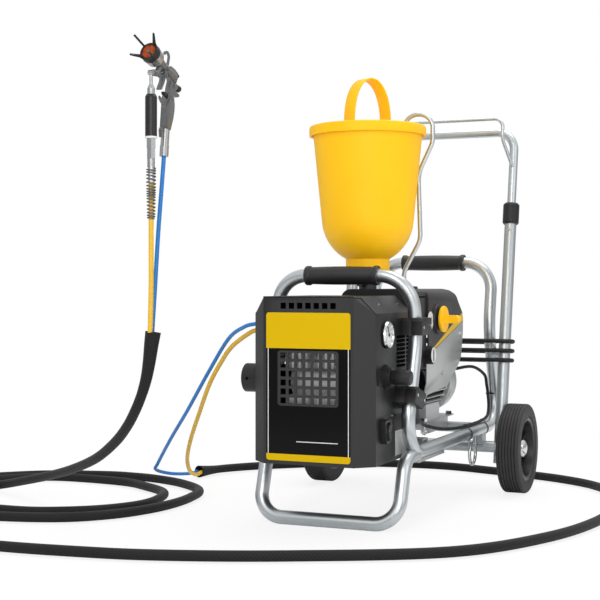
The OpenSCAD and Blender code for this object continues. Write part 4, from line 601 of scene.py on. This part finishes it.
def rounded(name, node, material, width, segments=2, body="cart", *, slot):
    """A copy of a CAD piece with its edges broken by a small round: flat faces are joined, then edges are bevelled."""
    mesh = nodes[node].data.copy()
    mesh.name = name
    work = bmesh.new()
    work.from_mesh(mesh)
    bmesh.ops.remove_doubles(work, verts=work.verts, dist=2e-6)
    bmesh.ops.dissolve_limit(work, angle_limit=math.radians(0.6), verts=work.verts, edges=work.edges,
                             delimit={"NORMAL"})
    work.to_mesh(mesh)
    work.free()
    mesh.materials.clear()
    mesh.materials.append(material)
    mesh.polygons.foreach_set("use_smooth", np.ones(len(mesh.polygons), bool))
    piece = bpy.data.objects.new(name, mesh)
    scene.collection.objects.link(piece)
    bevel = piece.modifiers.new("broken_edges", "BEVEL")
    bevel.width = width
    bevel.segments = segments
    bevel.limit_method = "ANGLE"
    bevel.angle_limit = math.radians(28)
    bevel.harden_normals = True
    bevel.use_clamp_overlap = True
    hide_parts(node)
    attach(piece, body)


# Rubber with a fine moulded grain (drawn at 1.1 mm so that it shows)
grip_rubber, tree, shader = new_finish("moulded_black_rubber", "#212122", 0.44, specular=0.5)
grain(tree, shader, 0.0011, 0.2, 0.0004)
dress(grip_rubber, "hoop_grips")

# Injection-moulded black nylon with a fine spark-eroded grain (drawn at 1.2 mm so that it shows)
black_nylon, tree, shader = new_finish("moulded_black_nylon", "#171718", 0.45, specular=0.4)
grain(tree, shader, 0.0012, 0.18, 0.0004)
dress(black_nylon, "clamp_sleeves")
rounded("hoop_clamps", "tube_clamps", black_nylon, 0.0018, slot="black_plastic")

# ---------------------------------------------------------------------------
# Wheels. Solid black tyres with six running grooves on moulded nylon rims, held on the axle by domed chrome caps.
# The tread's ribs have a dusty grey tone, and the grooves are painted near black as shade.


def about(tree, centre, axis):
    """Each surface point's place as seen from a centre, and its distance from the line through the centre along one
    axis: 0 for X, 1 for Y, 2 for Z."""
    spot = add(tree, "ShaderNodeTexCoord").outputs["Object"]
    centred = add(tree, "ShaderNodeMapping", Vector=spot, Location=tuple(-v for v in centre))
    place = add(tree, "ShaderNodeSeparateXYZ", Vector=centred.outputs[0])
    flat = add(tree, "ShaderNodeCombineXYZ", **{f"_{k}": place.outputs[k] for k in range(3) if k != axis})
    return place, add(tree, "ShaderNodeVectorMath", {"operation": "LENGTH"}, _0=flat.outputs[0]).outputs["Value"]


# How far under the tread's face the painted groove shade starts and where it ends, and how wide the plain shoulders are
GROOVE_TOP, GROOVE_FLOOR, SHOULDER = 0.0006, 0.0022, 0.0065
for side in ("left", "right"):
    low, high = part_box("tyre_" + side)
    hub = [(a + b) / 2 for a, b in zip(low, high)]
    tyre_r = (high[2] - low[2]) / 2
    half_w = (high[0] - low[0]) / 2
    tyre_rubber, tree, shader = new_finish("solid_tyre_rubber_" + side, "#262627", 0.6, specular=0.35)
    grain(tree, shader, 0.02, 0.12, 0.0005, tones=("#232324", "#323233"))
    dust = shader.inputs["Base Color"].links[0].from_socket
    place, radius = about(tree, hub, 0)
    sunk = add(tree, "ShaderNodeMath", {"operation": "LESS_THAN"}, _0=radius, _1=tyre_r - GROOVE_TOP)
    tread = add(tree, "ShaderNodeMath", {"operation": "GREATER_THAN"}, _0=radius, _1=tyre_r - GROOVE_FLOOR)
    off = add(tree, "ShaderNodeMath", {"operation": "ABSOLUTE"}, _0=place.outputs["X"])
    inner = add(tree, "ShaderNodeMath", {"operation": "LESS_THAN"}, _0=off.outputs[0], _1=half_w - SHOULDER)
    both = add(tree, "ShaderNodeMath", {"operation": "MULTIPLY"}, _0=sunk.outputs[0], _1=tread.outputs[0])
    painted_groove_shade = add(tree, "ShaderNodeMath", {"operation": "MULTIPLY"}, _0=both.outputs[0], _1=inner.outputs[0])
    # Painted shade: the grooves are coloured near black
    tone = add(tree, "ShaderNodeMix", {"data_type": "RGBA"}, _0=painted_groove_shade.outputs[0], _6=dust, _7=linear("#050505"))
    tree.links.new(tone.outputs[2], shader.inputs["Base Color"])
    dress(tyre_rubber, "tyre_" + side)
rim_nylon, tree, shader = new_finish("moulded_grey_black_nylon", "#262627", 0.36)
grain(tree, shader, 0.0012, 0.1, 0.0003)
dress(rim_nylon, "rim_left", "rim_right")

# ---------------------------------------------------------------------------
# Compressor box. Folded steel sheet, powder coated dark grey with a fine orange peel; the front carries a printed
# panel and a grille, the sides have louvres, and the cast compressor shows through them.
box_coat, tree, shader = new_finish("powder_coat_dark_grey", "#353536", 0.55, specular=0.15)
grain(tree, shader, 0.0024, 0.1, 0.0004)
shell_coat, tree, shader = new_finish("powder_coat_black", "#161617", 0.4, specular=0.42)
grain(tree, shader, 0.0024, 0.1, 0.0004)
rounded("box_front", "front_cover", box_coat, 0.0007, slot="box_metal")
rounded("box_shell", "body_shell", shell_coat, 0.0007, slot="box_dark")


def between(tree, value, low, high):
    """1 where the value lies between low and high, else 0."""
    above = add(tree, "ShaderNodeMath", {"operation": "GREATER_THAN"}, _0=value, _1=low)
    below = add(tree, "ShaderNodeMath", {"operation": "LESS_THAN"}, _0=value, _1=high)
    return add(tree, "ShaderNodeMath", {"operation": "MULTIPLY"}, _0=above.outputs[0], _1=below.outputs[0]).outputs[0]


# Printed vinyl: yellow bands at top and bottom of a black field with a fine slanting hatch (lines 3 mm apart), which
# is stronger towards the bottom, and thin white lines at both edges and above the lower band
panel_print, tree, shader = new_finish("printed_vinyl_panel", "#d9b508", 0.45, specular=0.1)
FIELD_Z, EDGE_LINE_X, RULE_Z, RULE_X = (0.1887, 0.437), (0.1006, 0.1024), (0.2178, 0.2196), (-0.029, 0.075)
spot = add(tree, "ShaderNodeTexCoord").outputs["Object"]
place = add(tree, "ShaderNodeSeparateXYZ", Vector=spot)
side = add(tree, "ShaderNodeMath", {"operation": "ABSOLUTE"}, _0=place.outputs["X"]).outputs[0]
field = between(tree, place.outputs["Z"], *FIELD_Z)
edge_line = add(tree, "ShaderNodeMath", {"operation": "MULTIPLY"}, _0=between(tree, side, *EDGE_LINE_X), _1=field)
short_line = add(tree, "ShaderNodeMath", {"operation": "MULTIPLY"}, _0=between(tree, place.outputs["Z"], *RULE_Z),
                 _1=between(tree, place.outputs["X"], *RULE_X))
slanted = add(tree, "ShaderNodeMapping", Vector=spot, Rotation=(0, 0.9, 0))
hatch = add(tree, "ShaderNodeTexWave", {"wave_type": "BANDS", "bands_direction": "X"}, Vector=slanted.outputs[0],
            Scale=105.0, Distortion=0.0)
lift = add(tree, "ShaderNodeMapRange", {"interpolation_type": "SMOOTHSTEP"}, Value=place.outputs["Z"],
           From_Min=0.30, From_Max=0.20, To_Min=0.12, To_Max=0.75)
weave = add(tree, "ShaderNodeMath", {"operation": "MULTIPLY"}, _0=hatch.outputs["Color"], _1=lift.outputs[0])
black_ink = add(tree, "ShaderNodeMix", {"data_type": "RGBA"}, _0=weave.outputs[0], _6=linear("#030303"),
                _7=linear("#1c1c1c"))
inks = add(tree, "ShaderNodeMix", {"data_type": "RGBA"}, _0=field, _6=linear("#cfaa00"), _7=black_ink.outputs[2])
lines = add(tree, "ShaderNodeMath", {"operation": "MAXIMUM"}, _0=edge_line.outputs[0], _1=short_line.outputs[0])
inks = add(tree, "ShaderNodeMix", {"data_type": "RGBA"}, _0=lines.outputs[0], _6=inks.outputs[2], _7=linear("#e0e0e0"))
tree.links.new(inks.outputs[2], shader.inputs["Base Color"])
dress(panel_print, "front_panel")

dress(black_nylon, "intake_silencer", "regulator_body", "switch_bezel", "rocker", "relief_knob")
rounded("regulator_grip", "regulator_knob", black_nylon, 0.0008, body="regulator", slot="black_plastic")
cast_metal, tree, shader = new_finish("sand_cast_aluminium", "#e4e5e5", 0.32, 0.7)
grain(tree, shader, 0.002, 0.3, 0.0006)
dress(cast_metal, "compressor")
plated_brass, tree, shader = new_finish("nickel_plated_brass", "#c9c4b0", 0.22, 1.0)
grain(tree, shader, 0.004, 0.05, 0.0002, rough=(0.16, 0.28))
dress(plated_brass, "air_outlets")


def label(name, outline, out, material, body="cart"):
    """A sheet 0.3 mm thick stuck to a surface: its outline's points in millimetres, and the direction out of the
    surface that it grows in."""
    mesh = bpy.data.meshes.new(name)
    mesh.from_pydata((np.array(outline) / 1000.0).tolist(), [], [tuple(range(len(outline)))])
    mesh.materials.append(material)
    if mesh.polygons[0].normal.dot(Vector(out)) < 0:
        mesh.flip_normals()
    piece = bpy.data.objects.new(name, mesh)
    scene.collection.objects.link(piece)
    shell = piece.modifiers.new("thickness", "SOLIDIFY")
    shell.thickness = 0.0003
    shell.offset = 1.0
    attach(piece, body)


def disc(x, y, z, radius):
    """48 points of a circle that faces along X."""
    turn = np.linspace(0, 2 * np.pi, 48, endpoint=False)
    return np.column_stack([np.full(48, x), y + radius * np.cos(turn), z + radius * np.sin(turn)])


# Gauge: a black case with a chrome bezel round a printed dial, under a clear coat that shines like its glass
BOX_SIDE_X, BEZEL_X, DIAL_X, GAUGE_Y, GAUGE_Z, DIAL_R = 154.0, 160.2, 161.15, 109, 468, 26.4
gauge_finish, tree, shader = new_finish("gauge_case_and_bezel", "#cfd0d1", 0.16, 1.0)
place = add(tree, "ShaderNodeSeparateXYZ", Vector=add(tree, "ShaderNodeTexCoord").outputs["Object"])
ahead = add(tree, "ShaderNodeMath", {"operation": "GREATER_THAN"}, _0=place.outputs["X"], _1=BEZEL_X / 1000)
tree.links.new(ahead.outputs[0], shader.inputs["Metallic"])
tone = add(tree, "ShaderNodeMix", {"data_type": "RGBA"}, _0=ahead.outputs[0], _6=linear("#121213"),
           _7=linear("#d4d5d6"))
tree.links.new(tone.outputs[2], shader.inputs["Base Color"])
dress(gauge_finish, "gauge_case")
black_paint, tree, shader = new_finish("matt_black_paint", "#0e0e0e", 0.6)
grain(tree, shader, 0.001, 0.1, 0.0002)
dress(black_paint, "gauge_needle")
dial_print, tree, shader = new_finish("printed_gauge_dial", "#d8dad9", 0.3)
shader.inputs["Coat Weight"].default_value = 1.0
shader.inputs["Coat Roughness"].default_value = 0.04
# The scale: ticks every 27 degrees that meet an arc, both left open at the bottom
TICK_EVERY, TICK_HALF, TICK_R, ARC_R, SCALE_HALF = math.radians(27), 0.05, (0.0175, 0.0235), (0.0236, 0.0244), 2.36
place, out = about(tree, (0.0, GAUGE_Y / 1000, GAUGE_Z / 1000), 0)
turn = add(tree, "ShaderNodeMath", {"operation": "ARCTAN2"}, _0=place.outputs["Y"], _1=place.outputs["Z"]).outputs[0]
beat = add(tree, "ShaderNodeMath", {"operation": "PINGPONG"}, _0=turn, _1=TICK_EVERY / 2)
tick = add(tree, "ShaderNodeMath", {"operation": "LESS_THAN"}, _0=beat.outputs[0], _1=TICK_HALF)
tick = add(tree, "ShaderNodeMath", {"operation": "MULTIPLY"}, _0=tick.outputs[0], _1=between(tree, out, *TICK_R))
marks = add(tree, "ShaderNodeMath", {"operation": "MAXIMUM"}, _0=tick.outputs[0], _1=between(tree, out, *ARC_R))
off_top = add(tree, "ShaderNodeMath", {"operation": "ABSOLUTE"}, _0=turn)
on_scale = add(tree, "ShaderNodeMath", {"operation": "LESS_THAN"}, _0=off_top.outputs[0], _1=SCALE_HALF)
marks = add(tree, "ShaderNodeMath", {"operation": "MULTIPLY"}, _0=marks.outputs[0], _1=on_scale.outputs[0])
tone = add(tree, "ShaderNodeMix", {"data_type": "RGBA"}, _0=marks.outputs[0], _6=linear("#d8dad9"),
           _7=linear("#1a1a1a"))
tree.links.new(tone.outputs[2], shader.inputs["Base Color"])
label("gauge_dial", disc(DIAL_X, GAUGE_Y, GAUGE_Z, DIAL_R), (1, 0, 0), dial_print)

# Rating plate: bare brushed foil, stuck on
foil, tree, shader = new_finish("brushed_aluminium_foil", "#c9cac9", 0.45, 0.2)
grain(tree, shader, 0.003, 0.15, 0.0003, tones=("#b3b4b3", "#dedfde"))
label("rating_plate", [(BOX_SIDE_X, 176, 174), (BOX_SIDE_X, 268, 174), (BOX_SIDE_X, 268, 234), (BOX_SIDE_X, 176, 234)],
      (1, 0, 0), foil)

# ---------------------------------------------------------------------------
# Pump unit. An electric motor with cooling fins and a silver fan cowl drives the paint pump; a black moulded hood
# with a yellow stripe covers the pump and a folded silver side cover closes the gap to the motor.
hood_abs, tree, shader = new_finish("moulded_black_abs", "#303031", 0.42, specular=0.3)
grain(tree, shader, 0.0011, 0.12, 0.0003)
rounded("pump_hood_shell", "pump_hood", hood_abs, 0.0022, 3, slot="hood_plastic")

silver_paint, tree, shader = new_finish("silver_painted_sheet", "#b6b8b8", 0.34, 0.7)
grain(tree, shader, 0.0008, 0.08, 0.0003)
rounded("side_cover_sheet", "side_cover", silver_paint, 0.001, slot="silver_sheet")
rounded("fan_cowl_sheet", "fan_cowl", silver_paint, 0.0012, slot="silver_sheet")
rounded("motor_base_frame", "motor_base", silver_paint, 0.0012, slot="base_metal")
motor_paint, tree, shader = new_finish("painted_cast_fins", "#c2c4c5", 0.42, 0.5)
grain(tree, shader, 0.0033, 0.25, 0.0006)
# Painted shade: the colour runs from near black at the bottoms of the gaps between the fins to light grey at the fins'
# edges
MOTOR_AXIS, FIN_ROOT_R, FIN_EDGE_R = (0.055, 0.0, 0.316), 0.0665, 0.0758
out = about(tree, MOTOR_AXIS, 1)[1]
painted_fin_shade = add(tree, "ShaderNodeMapRange", Value=out, From_Min=FIN_ROOT_R, From_Max=FIN_EDGE_R)
tone = add(tree, "ShaderNodeMix", {"data_type": "RGBA"}, _0=painted_fin_shade.outputs[0], _6=linear("#1b1d1f"), _7=linear("#ced0d1"))
tree.links.new(tone.outputs[2], shader.inputs["Base Color"])
dress(motor_paint, "motor")
iron_paint, tree, shader = new_finish("dark_painted_iron", "#4a4c4e", 0.45, 0.6)
grain(tree, shader, 0.0033, 0.2, 0.0005)
dress(iron_paint, "pump_head")

# Yellow vinyl stripe: a wedge along the hood's lower edge that turns the rear corner. The round labels are plain
# white vinyl, and the relief knob's has a black pointer
stripe_vinyl, tree, shader = new_finish("yellow_vinyl_stripe", "#cfab12", 0.4)
grain(tree, shader, 0.003, 0.06, 0.0002, tones=("#c9a510", "#d6b21a"))
white_vinyl, tree, shader = new_finish("white_vinyl_label", "#d9d9d9", 0.4)
grain(tree, shader, 0.004, 0.06, 0.0002, tones=("#cfcfcf", "#dedede"))
HOOD_SIDE_X, KNOB_FACE_X, POINTER_X = 150.05, 172.05, 172.4
stripe = [(HOOD_SIDE_X, 500, 415.4), (HOOD_SIDE_X, 767.5, 485.6), (HOOD_SIDE_X, 763.0, 508.5),
          (HOOD_SIDE_X, 500, 422.5)]
back = [(148, 769.9, 486.5), (96, 769.9, 486.5), (96, 763.7, 508), (148, 763.7, 508)]
pointer = [(POINTER_X, 421, 389), (POINTER_X, 429, 389), (POINTER_X, 429, 415), (POINTER_X, 425, 422),
           (POINTER_X, 421, 415)]
label("hood_stripe", stripe, (1, 0, 0), stripe_vinyl)
label("hood_stripe_back", back, (0, 1, 0.3), stripe_vinyl)
label("hood_label", disc(HOOD_SIDE_X, 468, 492, 24), (1, 0, 0), white_vinyl)
label("relief_knob_label", disc(KNOB_FACE_X, 425, 405, 20), (1, 0, 0), white_vinyl, body="relief_dial")
label("relief_knob_pointer", pointer, (1, 0, 0), black_paint, "relief_dial")

# The return pipe: a bent steel tube from the pump up beside the hopper, over its rim and down into the bowl
PIPE_R = 0.006
pipe_line = bent_line([(66, 500, 545), (66, 500, 622), (112, 500, 705), (106, 500, 880), (146, 500, 962),
                       (146, 500, 1037), (66, 500, 1037), (66, 500, 962)], [60, 60, 90, 60, 38, 38])
pipe = tube("return_tube", pipe_line, PIPE_R, tube_steel, 20, first=(1.0, 0.0, 0.0))
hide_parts("return_pipe")
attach(pipe, "cart")

# ---------------------------------------------------------------------------
# Hopper, lid and the yellow knob. Moulded polyethylene: warm yellow, slightly waxy, with a soft satin grain. The
# bowl stands on the pump by its neck, the lid lifts off by its strap, and the knob sets the paint's pressure.
yellow_plastic, tree, shader = new_finish("moulded_yellow_polyethylene", "#ffc10c", 0.45, specular=0.2)
shader.inputs["Subsurface Weight"].default_value = 0.08
shader.inputs["Subsurface Radius"].default_value = (0.01, 0.006, 0.001)
grain(tree, shader, 0.0014, 0.15, 0.0004)
spot = add(tree, "ShaderNodeTexCoord").outputs["Object"]
cloud = add(tree, "ShaderNodeTexNoise", Vector=spot, Scale=14.0, Detail=4.0)
tone = add(tree, "ShaderNodeMix", {"data_type": "RGBA"}, _0=cloud.outputs[0], _6=linear("#ffbf0a"),
           _7=linear("#fdc61a"))
tree.links.new(tone.outputs[2], shader.inputs["Base Color"])
dress(yellow_plastic, "hopper")
rounded("hopper_cover", "hopper_lid", yellow_plastic, 0.0012, body="lid", slot="yellow_plastic")
rounded("pressure_dial_grip", "pressure_knob", yellow_plastic, 0.0016, 3, body="pressure_dial", slot="yellow_plastic")

# ---------------------------------------------------------------------------
# Spray gun. Forged aluminium body in grey satin paint, bright turned fittings, black nylon guard and knobs, and a
# wire spring that keeps the paint hose from kinking.
gun_paint, tree, shader = new_finish("grey_satin_gun_paint", "#727476", 0.36, 0.6)
grain(tree, shader, 0.0016, 0.12, 0.0003)
rounded("gun_forging", "gun_body", gun_paint, 0.0014, 3, slot="gun_metal")
rounded("gun_trigger", "trigger", gun_paint, 0.0012, 3, body="trigger_lever", slot="gun_metal")
rounded("gun_lock", "trigger_lock", black_nylon, 0.0008, body="lock_lever", slot="black_plastic")
rounded("gun_guard", "tip_guard", black_nylon, 0.0008, body="guard", slot="black_plastic")
orange_nylon, tree, shader = new_finish("moulded_orange_nylon", "#a2410f", 0.5, specular=0.25)
grain(tree, shader, 0.0012, 0.15, 0.0003)
dress(orange_nylon, "tip_insert")
dress(black_nylon, "fan_knob", "air_knob")
turned_steel, tree, shader = new_finish("satin_turned_steel", "#a9abac", 0.38, 1.0)
grain(tree, shader, 0.004, 0.02, 0.0002, rough=(0.34, 0.42))
dress(turned_steel, "air_cap")

# The upright fitting: bright steel, but for the filter's black moulded handle and the white ring at its foot
FILTER_Z, WHITE_RING_Z, FITTING_Y = (0.9178, 1.0178), (0.9178, 0.9222), -0.2
handle_and_steel, tree, shader = new_finish("steel_with_black_filter_handle", "#aeb0b1", 0.34, 1.0)
grain(tree, shader, 0.006, 0.02, 0.0002, rough=(0.32, 0.4))
place = add(tree, "ShaderNodeSeparateXYZ", Vector=add(tree, "ShaderNodeTexCoord").outputs["Object"])
front = add(tree, "ShaderNodeMath", {"operation": "LESS_THAN"}, _0=place.outputs["Y"], _1=FITTING_Y)
moulded = add(tree, "ShaderNodeMath", {"operation": "MULTIPLY"}, _0=between(tree, place.outputs["Z"], *FILTER_Z),
              _1=front.outputs[0])
white_ring = between(tree, place.outputs["Z"], *WHITE_RING_Z)
ink = add(tree, "ShaderNodeMix", {"data_type": "RGBA"}, _0=white_ring, _6=linear("#151516"), _7=linear("#dcdcdc"))
tone = add(tree, "ShaderNodeMix", {"data_type": "RGBA"}, _0=moulded.outputs[0], _6=linear("#aeb0b1"), _7=ink.outputs[2])
tree.links.new(tone.outputs[2], shader.inputs["Base Color"])
metal = add(tree, "ShaderNodeMath", {"operation": "SUBTRACT"}, _0=1.0, _1=moulded.outputs[0])
tree.links.new(metal.outputs[0], shader.inputs["Metallic"])
dress(handle_and_steel, "paint_tube")

# The spring goes 17 times round the hose, straight for three tenths of its length and then tapering, with its turns a
# little closer together at both ends and in the middle
COILS, COIL_STEPS, COIL_R, TAPER, STRAIGHT, WIRE_R = 17, 28, 9.6, 1.8, 0.3, 0.0019
HOSE_X, HOSE_Y, SPRING_TOP, SPRING_LONG = -291, -223, 850, 114
share = np.arange(COILS * COIL_STEPS + 1) / (COILS * COIL_STEPS)
coil_r = np.where(share < STRAIGHT, COIL_R, COIL_R - TAPER * (share - STRAIGHT) / (1 - STRAIGHT))
turned = 2 * np.pi * COILS * share
coil_z = SPRING_TOP - SPRING_LONG * (share - 0.02 * np.sin(4 * np.pi * share))
spring_line = np.column_stack([HOSE_X + coil_r * np.cos(turned), HOSE_Y + coil_r * np.sin(turned), coil_z]) / 1000
spring_steel, tree, shader = new_finish("drawn_spring_steel", "#6f7173", 0.34, 1.0)
grain(tree, shader, 0.003, 0.05, 0.0002, rough=(0.3, 0.4))
spring = tube("hose_spring", spring_line, WIRE_R, spring_steel, 8)
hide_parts("spring_guard")
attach(spring, "cart")
